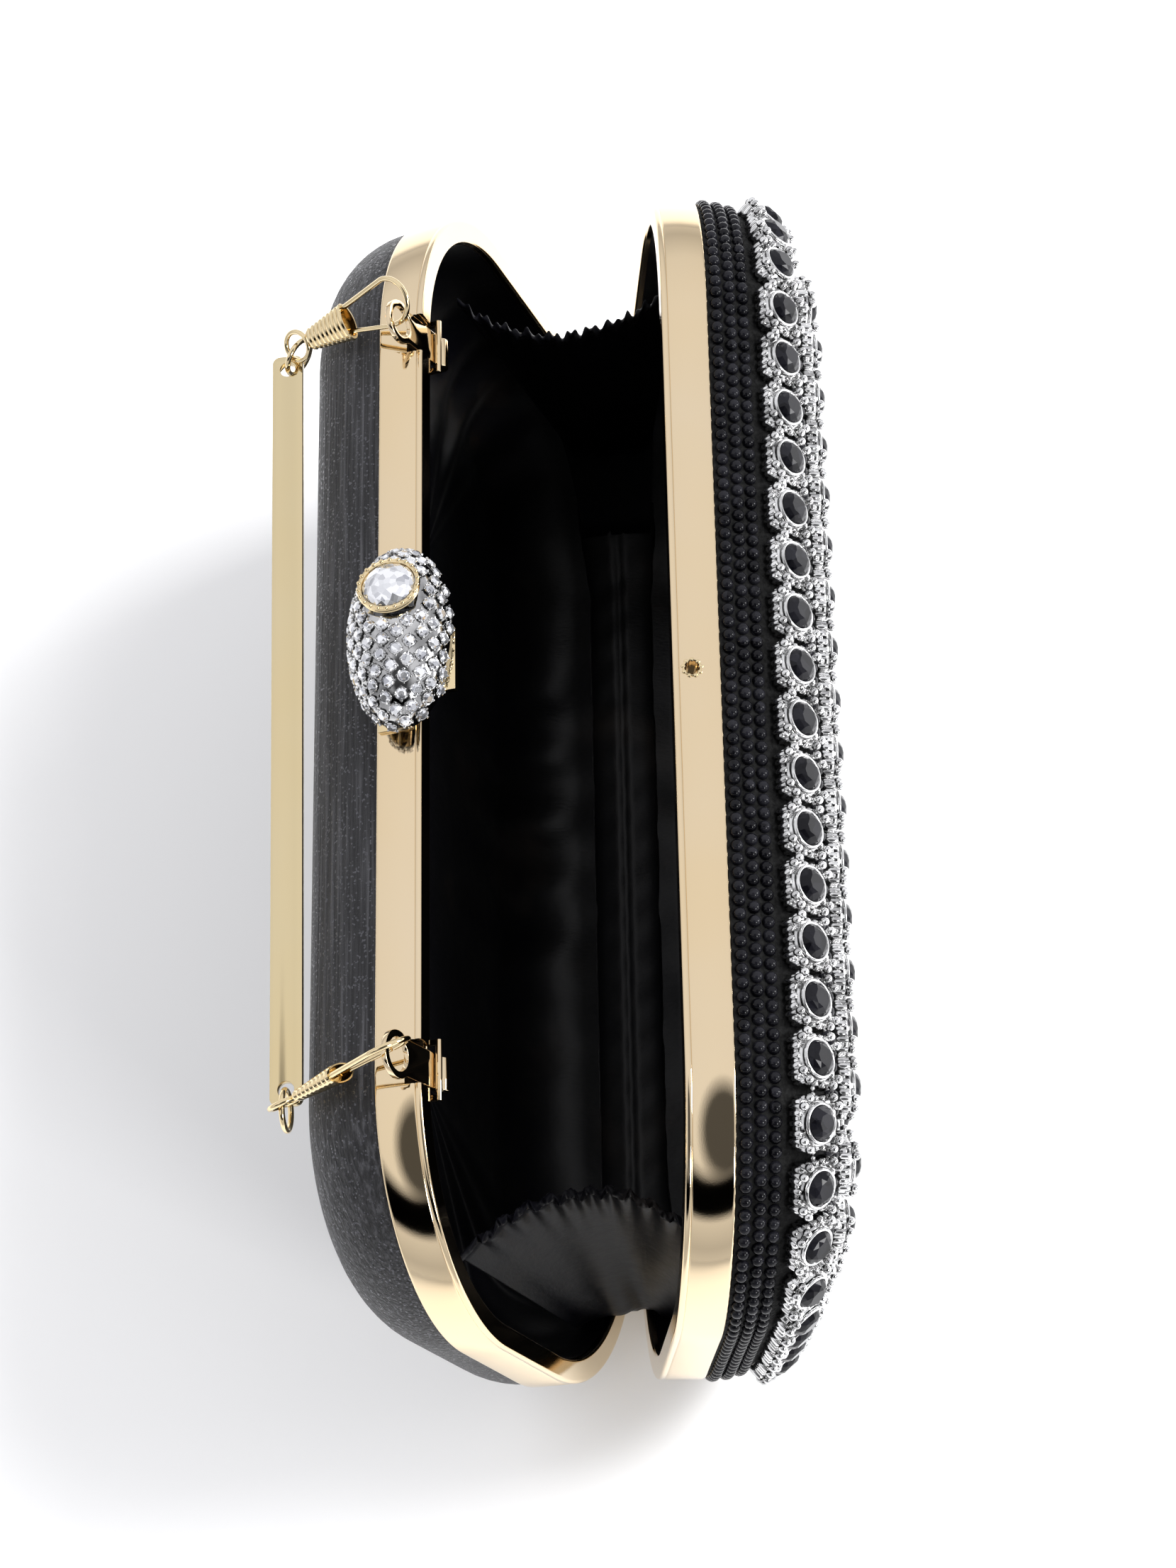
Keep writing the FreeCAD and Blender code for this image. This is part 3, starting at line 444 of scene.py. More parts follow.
def surface_seat(side, u, h, n, outward, slope):
    """A seat on the covering at a point of its surface."""
    out_u, out_h = outward
    normal = turn_direction(side, out_u * math.cos(slope), math.sin(slope), out_h * math.cos(slope))
    along = turn_direction(side, -out_h, 0, out_u)
    return seat_matrix(place(side, u, n, h), normal, along)


def islands(node):
    """The vertices of each separate solid of a CAD node."""
    bm = bmesh.new()
    bm.from_mesh(frame["nodes"][node].data)
    bmesh.ops.remove_doubles(bm, verts=bm.verts, dist=1e-6)
    waiting = set(bm.verts)
    groups = []
    while waiting:
        stack = [waiting.pop()]
        group = [stack[0].co.copy()]
        while stack:
            for edge in stack.pop().link_edges:
                for vertex in edge.verts:
                    if vertex in waiting:
                        waiting.remove(vertex)
                        stack.append(vertex)
                        group.append(vertex.co.copy())
        groups.append(group)
    bm.free()
    return groups


def box_centre(points):
    low = Vector([min(p[axis] for p in points) for axis in range(3)])
    high = Vector([max(p[axis] for p in points) for axis in range(3)])
    return (low + high) / 2


# ---- materials ----

class Material:
    """A material with one Principled shader and short ways to add noise and bumps to it."""

    def __init__(self, name, **values):
        self.data = bpy.data.materials.new(name)
        self.data.use_nodes = True
        self.tree = self.data.node_tree
        self.shader = self.tree.nodes["Principled BSDF"]
        for key, value in values.items():
            self.shader.inputs[key.replace("_", " ")].default_value = value

    def node(self, kind, **values):
        node = self.tree.nodes.new(kind)
        for key, value in values.items():
            if key in node.inputs:
                node.inputs[key].default_value = value
            else:
                setattr(node, key, value)
        return node

    def link(self, output, target):
        self.tree.links.new(output, target)

    def coordinates(self, stretch=(1, 1, 1)):
        source = self.node("ShaderNodeTexCoord")
        mapping = self.node("ShaderNodeMapping")
        mapping.inputs["Scale"].default_value = stretch
        self.link(source.outputs["Object"], mapping.inputs["Vector"])
        return mapping.outputs["Vector"]

    def noise(self, scale, detail=2.0, coordinates=None, roughness=0.5):
        node = self.node("ShaderNodeTexNoise", Scale=scale, Detail=detail, Roughness=roughness)
        self.link(coordinates or self.coordinates(), node.inputs["Vector"])
        return node.outputs["Fac"]

    def cells(self, scale, output="Color"):
        node = self.node("ShaderNodeTexVoronoi", Scale=scale)
        self.link(self.coordinates(), node.inputs["Vector"])
        return node.outputs[output]

    def ramp(self, value, stops):
        node = self.node("ShaderNodeValToRGB")
        elements = node.color_ramp.elements
        while len(elements) < len(stops):
            elements.new(0.5)
        for element, (position, colour) in zip(elements, stops):
            element.position = position
            element.color = colour if len(colour) == 4 else (*colour, 1)
        self.link(value, node.inputs["Fac"])
        return node.outputs["Color"]

    def maths(self, operation, first, second):
        node = self.node("ShaderNodeMath", operation=operation)
        for socket, value in zip(node.inputs, (first, second)):
            if isinstance(value, (int, float)):
                socket.default_value = value
            else:
                self.link(value, socket)
        return node.outputs[0]

    def drive(self, name, value):
        self.link(value, self.shader.inputs[name])

    def bump(self, height, strength, distance):
        node = self.node("ShaderNodeBump", Strength=strength, Distance=distance)
        self.link(height, node.inputs["Height"])
        current = self.shader.inputs["Normal"]
        if current.is_linked:
            self.link(current.links[0].from_socket, node.inputs["Normal"])
        self.link(node.outputs["Normal"], current)


def polished_gold(name, colour, roughness, wear):
    """Mirror-polished plating: slow waviness, faint haze and hair scratches."""
    made = Material(name, Base_Color=(*colour, 1), Metallic=1.0, Roughness=roughness)
    haze = made.noise(90, 3)
    made.drive("Roughness", made.ramp(haze, [(0.35, (roughness,) * 3), (0.75, (roughness + wear,) * 3)]))
    tint = made.noise(40, 2)
    warm = tuple(channel * factor for channel, factor in zip(colour, (1.0, 0.97, 0.90)))
    made.drive("Base Color", made.ramp(tint, [(0.3, colour), (0.7, warm)]))
    made.bump(made.noise(60, 2), 0.04, 0.0006)
    scratches = made.noise(500, 2, made.coordinates((1, 14, 14)))
    made.bump(scratches, 0.015, 0.0002)
    return made.data


def silver_plating(name, dark, light):
    """Bright plating whose tone varies a little from place to place."""
    made = Material(name, Base_Color=(light, light, light, 1), Metallic=1.0, Roughness=0.09)
    tone = made.noise(300, 2)
    made.drive("Base Color", made.ramp(tone, [(0.35, (dark,) * 3), (0.62, (light,) * 3)]))
    made.bump(made.noise(500, 2), 0.04, 0.0001)
    return made.data


def steel():
    made = Material("steel", Base_Color=(0.6, 0.58, 0.55, 1), Metallic=1.0, Roughness=0.3)
    made.drive("Roughness", made.ramp(made.noise(700, 3), [(0.3, (0.22,) * 3), (0.7, (0.42,) * 3)]))
    return made.data


def black_stone():
    """Opaque black glass: deep colour, bright hard highlights."""
    made = Material("black_stone", Base_Color=(0.004, 0.004, 0.005, 1), Roughness=0.06)
    made.shader.inputs["IOR"].default_value = 1.4
    made.shader.inputs["Specular IOR Level"].default_value = 0.3
    tone = made.cells(420)
    made.drive("Base Color", made.ramp(tone, [(0.2, (0.002, 0.002, 0.003)), (0.9, (0.010, 0.010, 0.013))]))
    return made.data


def clear_crystal():
    """Clear cut glass with a foiled back: facets mirror the room."""
    made = Material("clear_crystal", Base_Color=(0.80, 0.81, 0.85, 1), Metallic=0.85, Roughness=0.06)
    made.shader.inputs["Coat Weight"].default_value = 1.0
    made.shader.inputs["Coat Roughness"].default_value = 0.02
    tone = made.cells(1100)
    made.drive("Base Color", made.ramp(tone, [(0.15, (0.42, 0.43, 0.47)), (0.6, (0.92, 0.93, 0.96))]))
    return made.data


def glitter_fabric():
    """Charcoal fabric with fine ribs along the bag and a scatter of tiny bright flakes."""
    made = Material("glitter_fabric", Base_Color=(0.03, 0.03, 0.034, 1), Roughness=0.6)
    made.shader.inputs["Sheen Weight"].default_value = 0.12
    made.shader.inputs["Sheen Roughness"].default_value = 0.4
    grain = made.noise(1500, 3, made.coordinates((0.03, 1, 1)), 0.6)
    shade = made.ramp(
        grain,
        [(0.38, (0.002, 0.002, 0.003)), (0.52, (0.012, 0.012, 0.014)), (0.66, (0.045, 0.045, 0.050))],
    )
    flakes = made.cells(3600)
    bright = made.maths("GREATER_THAN", flakes, 0.80)
    mix = made.node("ShaderNodeMix", data_type="RGBA")
    made.link(bright, mix.inputs["Factor"])
    made.link(shade, mix.inputs["A"])
    mix.inputs["B"].default_value = (0.09, 0.09, 0.10, 1)
    made.drive("Base Color", mix.outputs["Result"])
    made.drive("Metallic", made.maths("MULTIPLY", bright, 0.9))
    made.drive("Roughness", made.ramp(bright, [(0.0, (0.62,) * 3), (1.0, (0.25,) * 3)]))
    made.bump(grain, 0.8, 0.0005)
    made.bump(flakes, 0.6, 0.00012)
    return made.data


def black_mesh():
    made = Material("black_mesh", Base_Color=(0.008, 0.008, 0.009, 1), Roughness=0.75)
    made.shader.inputs["Specular IOR Level"].default_value = 0.15
    made.bump(made.cells(1500, output="Distance"), 0.6, 0.0003)
    made.drive("Base Color", made.ramp(made.noise(1500, 2), [(0.3, (0.003,) * 3), (0.8, (0.012,) * 3)]))
    return made.data


def satin(name, painted_glint_level, sheen, gloss):
    """Black satin: fine weave, a soft grey sheen, and faint warm glints painted into its colour on the fold
    crests, with a little painted shade in the fold hollows.
    """
    made = Material(name, Base_Color=(0.006, 0.006, 0.009, 1), Roughness=0.42)
    made.shader.inputs["Sheen Weight"].default_value = sheen
    made.shader.inputs["Sheen Roughness"].default_value = 0.3
    made.shader.inputs["Specular IOR Level"].default_value = gloss
    folds = made.noise(55, 3)
    # painted highlight: warm glints painted into the base colour where the fold noise is high, on the crests of
    # the fold bumps; the low end of the ramp is painted shade in the fold hollows
    painted_glint = (painted_glint_level, painted_glint_level * 0.8, painted_glint_level * 0.7)
    made.drive(
        "Base Color",
        made.ramp(folds, [(0.35, (0.003, 0.003, 0.005)), (0.6, (0.006, 0.006, 0.007)), (0.8, painted_glint)]),
    )
    weave = made.noise(2600, 2, made.coordinates((1, 0.3, 0.3)))
    made.bump(folds, 0.35, 0.0012)
    made.bump(weave, 0.25, 0.00015)
    return made.data


def board():
    made = Material("board", Base_Color=(0.06, 0.06, 0.065, 1), Roughness=0.8)
    made.drive("Base Color", made.ramp(made.noise(800, 4), [(0.3, (0.04,) * 3), (0.8, (0.10,) * 3)]))
    return made.data


def pale_floor():
    made = Material("pale_floor", Base_Color=(0.9, 0.9, 0.905, 1), Roughness=0.75)
    tone = made.noise(3, 2)
    made.drive("Base Color", made.ramp(tone, [(0.3, (0.89, 0.89, 0.895)), (0.7, (0.92, 0.92, 0.92))]))
    return made.data


GOLD = polished_gold("pale_gold", (0.82, 0.67, 0.46), 0.045, 0.05)
BRIGHT_GOLD = polished_gold("bright_gold", (0.86, 0.71, 0.45), 0.06, 0.06)
HANDLE_GOLD = polished_gold("handle_gold", (0.74, 0.62, 0.39), 0.07, 0.08)
SILVER = silver_plating("silver_plating", 0.45, 0.88)
STEEL = steel()
BLACK_STONE = black_stone()
CLEAR_CRYSTAL = clear_crystal()
FABRIC = glitter_fabric()
MESH = black_mesh()
# the second number of each satin is the brightness of the warm glints painted into its colour, a painted highlight
LINING = satin("lining_satin", 0.030, 0.10, 0.36)
GUSSET = satin("gusset_satin", 0.016, 0.01, 0.08)
LATCH_SILVER = silver_plating("latch_silver", 0.32, 0.62)
BOARD = board()


# ---- frames ----

def rounded_section(corners, radius, steps=5):
    """A closed section with rounded corners, and a point just before and after each rounding."""
    points = []
    count = len(corners)
    for i, corner in enumerate(corners):
        before, after = Vector(corners[i - 1]), Vector(corners[(i + 1) % count])
        here = Vector(corner)
        into, out = (before - here).normalized(), (after - here).normalized()
        reach = min(radius, (before - here).length / 3, (after - here).length / 3)
        start, end = here + into * reach, here + out * reach
        centre = start + out * reach
        points.append(start + into * reach * 0.3)
        for step in range(steps + 1):
            share = step / steps * math.pi / 2
            points.append(centre + (start - centre) * math.cos(share) + (end - centre) * math.sin(share))
        points.append(end + out * reach * 0.3)
    return points


def rim_section():
    """The frame's rounded section, with its groove after the points of the first corner."""
    groove_at, groove_depth = RIM_GROOVE
    groove = [
        Vector((0, groove_at - GROOVE_HALF_WIDTH)),
        Vector((groove_depth, groove_at)),
        Vector((0, groove_at + GROOVE_HALF_WIDTH)),
    ]
    corners = [(0, MOUTH_GAP), (0, RIM_DEPTH), (RIM_WALL, RIM_DEPTH), (RIM_WALL, MOUTH_GAP)]
    square = rounded_section(corners, RIM_ROUND)
    first_side = len(square) // len(corners)
    return square[:first_side] + groove + square[first_side:]


def sweep_round(name, side, section, material):
    stations = outline_stations()
    count = len(stations)
    vertices, faces = [], []
    for inset, n in section:
        for station in stations:
            u, h = inset_point(station, inset)
            vertices.append(place(side, u, n, h))
    for ring in range(len(section)):
        faces += loop_faces(ring * count, ((ring + 1) % len(section)) * count, count)
    return outward_faces(new_piece(name, vertices, faces, material, sharp=40))


def cut_block(piece, side, low, high):
    """Cut a block given in the half's own (u, n, h) out of a piece."""
    corners = [
        place(side, u, n, h)
        for u in (low[0], high[0]) for n in (low[1], high[1]) for h in (low[2], high[2])
    ]
    faces = [(0, 1, 3, 2), (4, 6, 7, 5), (0, 4, 5, 1), (2, 3, 7, 6), (0, 2, 6, 4), (1, 5, 7, 3)]
    cut_with(piece, outward_faces(new_piece("cutter", corners, faces, BOARD, smooth=False)))


def cut_with(piece, cutter):
    modifier = piece.modifiers.new("cut", "BOOLEAN")
    modifier.object = cutter
    modifier.operation = "DIFFERENCE"
    modifier.solver = "EXACT"
    bpy.context.view_layer.objects.active = piece
    bpy.ops.object.modifier_apply(modifier="cut")
    bpy.data.objects.remove(cutter)


def make_rims():
    section = rim_section()
    back = sweep_round("back_frame_polished", BACK, section, GOLD)
    for x in (-TAB_X, TAB_X):
        cut_block(
            back, BACK,
            (x - NOTCH_HALF_WIDTH, -CUT_PAST, NOTCH_FLOOR),
            (x + NOTCH_HALF_WIDTH, NOTCH_DEPTH, HEIGHT + CUT_PAST),
        )
    finish_piece(back, "back_rim")
    front = sweep_round("front_frame_polished", FRONT, section, GOLD)
    drill = Template()
    drill.facets([(24, CATCH_HOLE, -CATCH_HOLE_DEPTH, 0.0), (24, CATCH_HOLE, CUT_PAST, 0.0)])
    cut_with(front, outward_faces(repeat("drill", drill, [catch_seat()], BOARD, smooth=False)))
    finish_piece(front, "front_rim")


def catch_seat():
    """The seat on top of the front frame round the hole that the latch's tongue snaps into."""
    points = [vertex.co for vertex in frame["nodes"]["catch_eyelet"].data.vertices]
    u, n, _ = to_half(FRONT, box_centre(points))
    return seat_matrix(place(FRONT, u, n, HEIGHT), turn_direction(FRONT, 0, 0, 1), Vector((1, 0, 0)))


# ---- coverings and linings ----

def pan_rings(start_inset, near, far, rounding):
    """Rings from the frame over the rounding to the flat: (inset, depth)."""
    rings = [(start_inset, near)]
    for step in range(CURVE_STEPS + 1):
        slope = step / CURVE_STEPS * math.pi / 2
        inset = start_inset + rounding * (1 - math.cos(slope))
        rings.append((inset, far - rounding * (1 - math.sin(slope))))
    return rings


def pan(name, side, rings, material, pucker=0.0, seed=1):
    """A dished sheet from the rings, closed across the flat towards the middle line."""
    stations = outline_stations()
    count = len(stations)
    chance = random.Random(seed)
    phases = [(chance.uniform(0, 6.3), chance.randint(9, 46), chance.uniform(0.4, 1.0)) for _ in range(7)]
    most = sum(size for _, _, size in phases)
    vertices, faces = [], []
    spine = WIDTH / 2 - HEIGHT / 2

    def gather(index, share):
        turn = 2 * math.pi * index / count
        wave = sum(
            size * math.sin(waves * turn + phase + 2.2 * share) for phase, waves, size in phases
        )
        return pucker * (0.5 + wave / most) * math.sin(math.pi * min(1.0, share))

    for ring, (inset, n) in enumerate(rings):
        share = ring / (len(rings) - 1)
        for index, station in enumerate(stations):
            shift = gather(index, share * 0.8)
            u, h = inset_point(station, inset + shift * math.cos(share * math.pi / 2))
            vertices.append(place(side, u, n - shift * math.sin(share * math.pi / 2), h))
    edge_inset, flat = rings[-1]
    for ring in range(1, SPINE_RINGS + 1):
        share = ring / SPINE_RINGS
        for index, station in enumerate(stations):
            u, h = inset_point(station, edge_inset)
            middle_u = max(-spine, min(spine, u))
            sag = gather(index, 0.8) * (1 - share)
            vertices.append(place(
                side, u + (middle_u - u) * share, flat - sag, h + (HEIGHT / 2 - h) * share,
            ))
    total = len(rings) + SPINE_RINGS
    for ring in range(total - 1):
        faces += loop_faces(ring * count, (ring + 1) * count, count)
    return new_piece(name, vertices, faces, material, sharp=60)


def make_coverings():
    rings = pan_rings(COVER_STEP, RIM_DEPTH, COVER_DEPTH, COVER_ROUND)
    back = pan("back_fabric", BACK, rings, FABRIC)
    finish_piece(back, "back_cover")
    front = pan("front_backing", FRONT, rings, MESH)
    finish_piece(front, "front_cover")


def make_linings():
    rings = pan_rings(RIM_WALL + LINING_START, LINING_NEAR, LINING_FAR - LINING_SKIN, LINING_ROUND)
    for side, node, seed in ((BACK, "back_lining", 3), (FRONT, "front_lining", 8)):
        lining = pan(node + "_satin", side, rings, LINING, LINING_PUCKER, seed)
        finish_piece(lining, node)


# ---- stones ----

def lowest_allowed():
    return -RIM_DEPTH * math.sin(LEAN) + FLOOR_MARGIN


def above_floor(side, u, n, h, outward, reach):
    """True where a stone of that reach stays above the lowest line of the frames."""
    edge_h = h + outward[1] * reach
    edge_n = n + BEAD_HEIGHT
    return edge_h * math.cos(LEAN) - edge_n * math.sin(LEAN) > lowest_allowed()


def bead_template():
    bead = Template()
    bead.facets([
        (10, BEAD_RADIUS, 0.0, 0.0), (10, BEAD_RADIUS * 0.97, 0.3, 0.0),
        (10, BEAD_RADIUS * 0.74, 0.72, 0.5), (6, BEAD_RADIUS * 0.42, 0.95, 0.0), (1, 0.0, BEAD_HEIGHT, 0.0),
    ])
    return bead


def bead_seats():
    distances = list(FIRST_BEAD_ROWS)
    for row in range(RING_ROWS):
        start = FIRST_ROW + row * ROW_PITCH + ROW_EDGE
        distances += [start + extra for extra in BETWEEN_BEAD_ROWS]
    seats = []
    for distance in distances:
        inset, n, slope = over_surface(distance)
        for (u, h), outward in walk_outline(inset, BEAD_PITCH):
            if above_floor(FRONT, u, n, h, outward, BEAD_RADIUS):
                seats.append(surface_seat(FRONT, u, h, n, outward, slope))
    middle = HEIGHT / 2
    step = round(2 * CENTRE_END / BEAD_PITCH)
    flat = math.pi / 2
    for index in range(step + 1):
        u = -CENTRE_END + 2 * CENTRE_END * index / step
        for side in (-1, 1):
            h = middle + side * CENTRE_BEAD_OFFSET
            seats.append(surface_seat(FRONT, u, h, COVER_DEPTH, (0, 1), flat))
    for side in (-1, 1):
        for column in range(END_COLUMNS):
            u = side * (CENTRE_END + (column + END_COLUMN_START) * BEAD_PITCH)
            for row in range(-END_COLUMN_REACH, END_COLUMN_REACH + 1):
                seats.append(surface_seat(FRONT, u, middle + row * BEAD_PITCH, COVER_DEPTH, (0, 1), flat))
    return seats


def make_beads():
    chance = random.Random(11)
    seats = []
    for seat in bead_seats():
        turn = Matrix.Rotation(chance.uniform(0, 2 * math.pi), 4, "Z")
        tip = Matrix.Rotation(chance.uniform(-BEAD_TIP, BEAD_TIP), 4, "X")
        seats.append(seat @ turn @ tip)
    beads = repeat("small_black_stones", bead_template(), seats, BLACK_STONE, smooth=True, sharp=75)
    finish_piece(beads, "small_stone_bands")


def setting_template():
    """Square four-prong cup: ribbed walls, a raised ring and double ball-tipped prongs."""
    cup = Template()
    half = SETTING_HALF
    body = half - CUP_INSET
    cup.block((-body, -body, 0), (body, body, CUP_HEIGHT), 0.2)
    for rib in (-1, 0, 1):
        at = rib * RIB_PITCH
        for side in (-1, 1):
            low, high = sorted((side * (half - RIB_DEPTH), side * half))
            cup.block((at - RIB_HALF, low, 0), (at + RIB_HALF, high, RIB_HEIGHT), 0.25)
            cup.block((low, at - RIB_HALF, 0), (high, at + RIB_HALF, RIB_HEIGHT), 0.25)
    for beyond, wire, height, sides in SEAT_RINGS:
        cup.ring(STONE_RADIUS + beyond, wire, height, 28, sides)
    middle = half - RIB_DEPTH
    for side_x in (-1, 1):
        for side_y in (-1, 1):
            for across in (-PRONG_SPREAD, PRONG_SPREAD):
                x = side_x * (middle + across)
                y = side_y * (middle - across)
                cup.ball(PRONG_RADIUS, (x, y, PRONG_HEIGHT), 14, 10, 1.15)
                cup.ball(LEG_RADIUS, (x, y, LEG_HEIGHT), 10, 8, 3.0)
    for side in (-1, 1):
        cup.ball(LINK_RADIUS, (side * (half + 0.15), 0, 1.0), 8, 6)
    return cup


def stone_template():
    """Round cut stone: table, kite and girdle facets."""
    gem = Template()
    gem.facets([
        (16, STONE_RADIUS, 2.5, 0.0), (16, STONE_RADIUS, 2.95, 0.0),
        (8, STONE_RADIUS * 0.80, 3.62, 0.5), (8, STONE_RADIUS * 0.56, 3.95, 0.0),
    ])
    return gem


def large_seats():
    """A seat under each large stone, found from the CAD settings' places."""
    seats = []
    rounding_inset = COVER_STEP + COVER_ROUND
    rounding_depth = COVER_DEPTH - COVER_ROUND
    for group in islands("large_settings"):
        middle = sum(group, Vector()) / len(group)
        u, n, h = to_half(FRONT, middle)
        inset, outward = signed_outline(u, h)
        if inset > rounding_inset:
            up = 1 if h > HEIGHT / 2 else -1
            outward = outward if inset < rounding_inset + LAST_RING_REACH else (0.0, float(up))
            seats.append(surface_seat(FRONT, u, h, COVER_DEPTH, outward, math.pi / 2))
            continue
        slope = math.atan2(n - rounding_depth, rounding_inset - inset)
        distance = slope * COVER_ROUND + rounding_depth - RIM_DEPTH
        on_inset, on_depth, slope = over_surface(distance)
        shift = inset - on_inset
        seats.append(surface_seat(
            FRONT, u + outward[0] * shift, h + outward[1] * shift, on_depth, outward, slope,
        ))
    return seats


def make_large_stones():
    seats = large_seats()
    cups = repeat("stone_settings", setting_template(), seats, SILVER, smooth=True, sharp=50)
    finish_piece(cups, "large_settings")
    gems = repeat("large_black_stones", stone_template(), seats, BLACK_STONE, smooth=False)
    finish_piece(gems, "large_stones")


# ---- latch ----

def dome_origin():
    return (DOME_CENTRE[0], DOME_CENTRE[1], HEIGHT + DOME_RISE)


def dome_seat(point):
    """A seat on the dome under a point near it."""
    u, n, h = to_half(BACK, point)
    centre = dome_origin()
    offset = (u - centre[0], n - centre[1], h - centre[2])
    size = math.sqrt(sum((o / s) ** 2 for o, s in zip(offset, DOME_SEMI)))
    on = [c + o / size for c, o in zip(centre, offset)]
    gradient = [(o / size) / s ** 2 for o, s in zip(offset, DOME_SEMI)]
    normal = turn_direction(BACK, *gradient)
    return seat_matrix(place(BACK, *on), normal, Vector((1, 0, 0.01)))


def crystal_seats(main_place):
    """Seats packed over the dome round the large crystal, from the dome's top downwards."""
    centre = dome_origin()
    golden = math.pi * (3 - math.sqrt(5))
    chosen = []
    for index in range(CRYSTAL_TRIES):
        rise = 1 - (index + 0.5) / CRYSTAL_TRIES * (1 - CRYSTAL_LOWEST)
        spread = math.sqrt(1 - rise * rise)
        direction = (spread * math.cos(golden * index), spread * math.sin(golden * index), rise)
        spot = place(BACK, *[c + s * d for c, s, d in zip(centre, DOME_SEMI, direction)])
        if (spot - main_place).length < MAIN_CRYSTAL_CLEAR * MM:
            continue
        if all((spot - other).length > CRYSTAL_PITCH * MM for other in chosen):
            chosen.append(spot)
    return [dome_seat(spot) for spot in chosen]


def small_crystal_template():
    gem = Template()
    gem.facets([(8, 0.86, 0.1, 0.0), (8, 0.86, 0.32, 0.0), (8, 0.50, 0.66, 0.5)])
    return gem


def small_bezel_template():
    """Thin collar with a ring of tiny beads."""
    bezel = Template()
    bezel.ring(0.92, 0.13, 0.2, 16, 5)
    bezel.ball_circle(4, 1.04, 0.36, 0.24, 7, 5)
    return bezel


def make_latch():
    bezel_points = [vertex.co for vertex in frame["nodes"]["latch_main_bezel"].data.vertices]
    main = dome_seat(box_centre(bezel_points))
    seats = crystal_seats(main.translation)
    gems = repeat("pave_crystals", small_crystal_template(), seats, CLEAR_CRYSTAL, smooth=False)
    finish_piece(gems, "latch_small_crystals")
    collars = repeat("pave_collars", small_bezel_template(), seats, SILVER, smooth=True)
    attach(collars, NODE_BODY["latch_dome"])
    gem = Template()
    gem.facets([
        (16, 4.0, 0.6, 0.0), (16, 4.0, 1.1, 0.0), (16, 3.45, 1.65, 0.5),
        (8, 2.7, 2.1, 0.5), (8, 2.0, 2.35, 0.0),
    ])
    stone = repeat("main_crystal_cut", gem, [main], CLEAR_CRYSTAL, smooth=False)
    finish_piece(stone, "latch_main_crystal")
    cup = Template()
    for radius, wire, height in MAIN_BEZEL_RINGS:
        cup.ring(radius, wire, height, 40, 8)
    cup.ball_circle(MAIN_BEZEL_BEADS, 4.55, 1.25, 0.36, 8, 6)
    bezel = repeat("main_bezel_beaded", cup, [main], BRIGHT_GOLD, smooth=True)
    finish_piece(bezel, "latch_main_bezel")


def make_catch():
    """Burred collar round the hole for the latch's tongue, open like a small flower."""
    burr = Template()
    burr.ring(CATCH_HOLE + 0.1, BURR_WIRE, 0.0, 28, 8)
    burr.ball_circle(BURR_PETALS, CATCH_HOLE + 0.15, 0.0, PETAL_RADIUS, 8, 6, 0.5)
    eyelet = repeat("catch_burr", burr, [catch_seat()], BRIGHT_GOLD)
    finish_piece(eyelet, "catch_eyelet")


# ---- gussets ----

def gusset_fold(across, share_up, phase):
    """Depth in mm of the soft folds: long drapes low down, small ruffles at the gathered top."""
    drape = math.sin(3.9 * across + phase) + 0.5 * math.sin(8.3 * across + 2.1 * phase)
    fine = math.sin(GUSSET_RUFFLES * math.pi * across + phase + 1.2 * math.sin(4 * across + phase))
    fade = min(1.0, (1 - abs(across)) * 7)
    return fade * (DRAPE_DEPTH * drape * (1 - 0.6 * share_up) + RUFFLE_DEPTH * fine * share_up ** 14)


def gusset_point(end, share_up, across, phase):
    """A point of the folded end panel: across runs from -1 at the front to 1 at the back."""
    z = GUSSET_BASE_Z + (GUSSET_TOP_Z - GUSSET_BASE_Z) * share_up
    half = GUSSET_BASE_HALF + (GUSSET_TOP_HALF - GUSSET_BASE_HALF) * share_up
    bow = GUSSET_SAG * (1 - across * across) * (0.25 + 0.75 * share_up)
    reach = GUSSET_REACH - bow + gusset_fold(across, share_up, phase)
    below = BASE_CORNER - (z - HINGE.z / MM)
    if below > 0:
        inner = BASE_CORNER - RIM_WALL
        corner_reach = WIDTH / 2 - BASE_CORNER + math.sqrt(max(0.0, inner ** 2 - below ** 2))
        reach = min(reach, corner_reach - GUSSET_CLEAR)
    return Vector((end * reach, across * half, z)) * MM + Vector((0, HINGE.y, 0))


def sheet(name, rows, columns, at, material):
    """A sheet of quads from a function of the shares along its two directions."""
    vertices = [at(row / rows, column / columns) for row in range(rows + 1) for column in range(columns + 1)]
    width = columns + 1
    faces = []
    for row in range(rows):
        for column in range(columns):
            corner = row * width + column
            faces.append((corner, corner + 1, corner + width + 1, corner + width))
    return new_piece(name, vertices, faces, material, sharp=80)


def make_gusset(end, word, phase):
    panel = sheet(
        word + "_gusset_satin", *GUSSET_GRID,
        lambda up, share: gusset_point(end, up, 2 * share - 1, phase), GUSSET,
    )
    thicken(panel, GUSSET_THICKNESS)
    bend_with_halves(panel)
    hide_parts(word + "_gusset")


def base_point(along, share):
    """A point of the soft fold over the hinges, which climbs the corners to meet the gussets."""
    across = 2 * share - 1
    straight = WIDTH / 2 - BASE_CORNER
    inner = BASE_CORNER - RIM_WALL
    u = (straight + BASE_FOLD_RUN) * (2 * along - 1)
    over = max(0.0, abs(u) - straight)
    rise = inner - math.sqrt(inner ** 2 - over ** 2)
    y = across * (BASE_FOLD_HALF + 0.10 * over)
    wave = 0.10 * math.sin(0.31 * u) + 0.06 * math.sin(0.83 * u + 3 * across)
    crease = 0.5 * math.exp(-(across * 8) ** 2)
    z = BASE_FOLD_HEIGHT + rise + wave - crease - abs(y) * math.tan(LEAN) - 0.6 * across ** 8
    return Vector((u, y, z)) * MM + HINGE


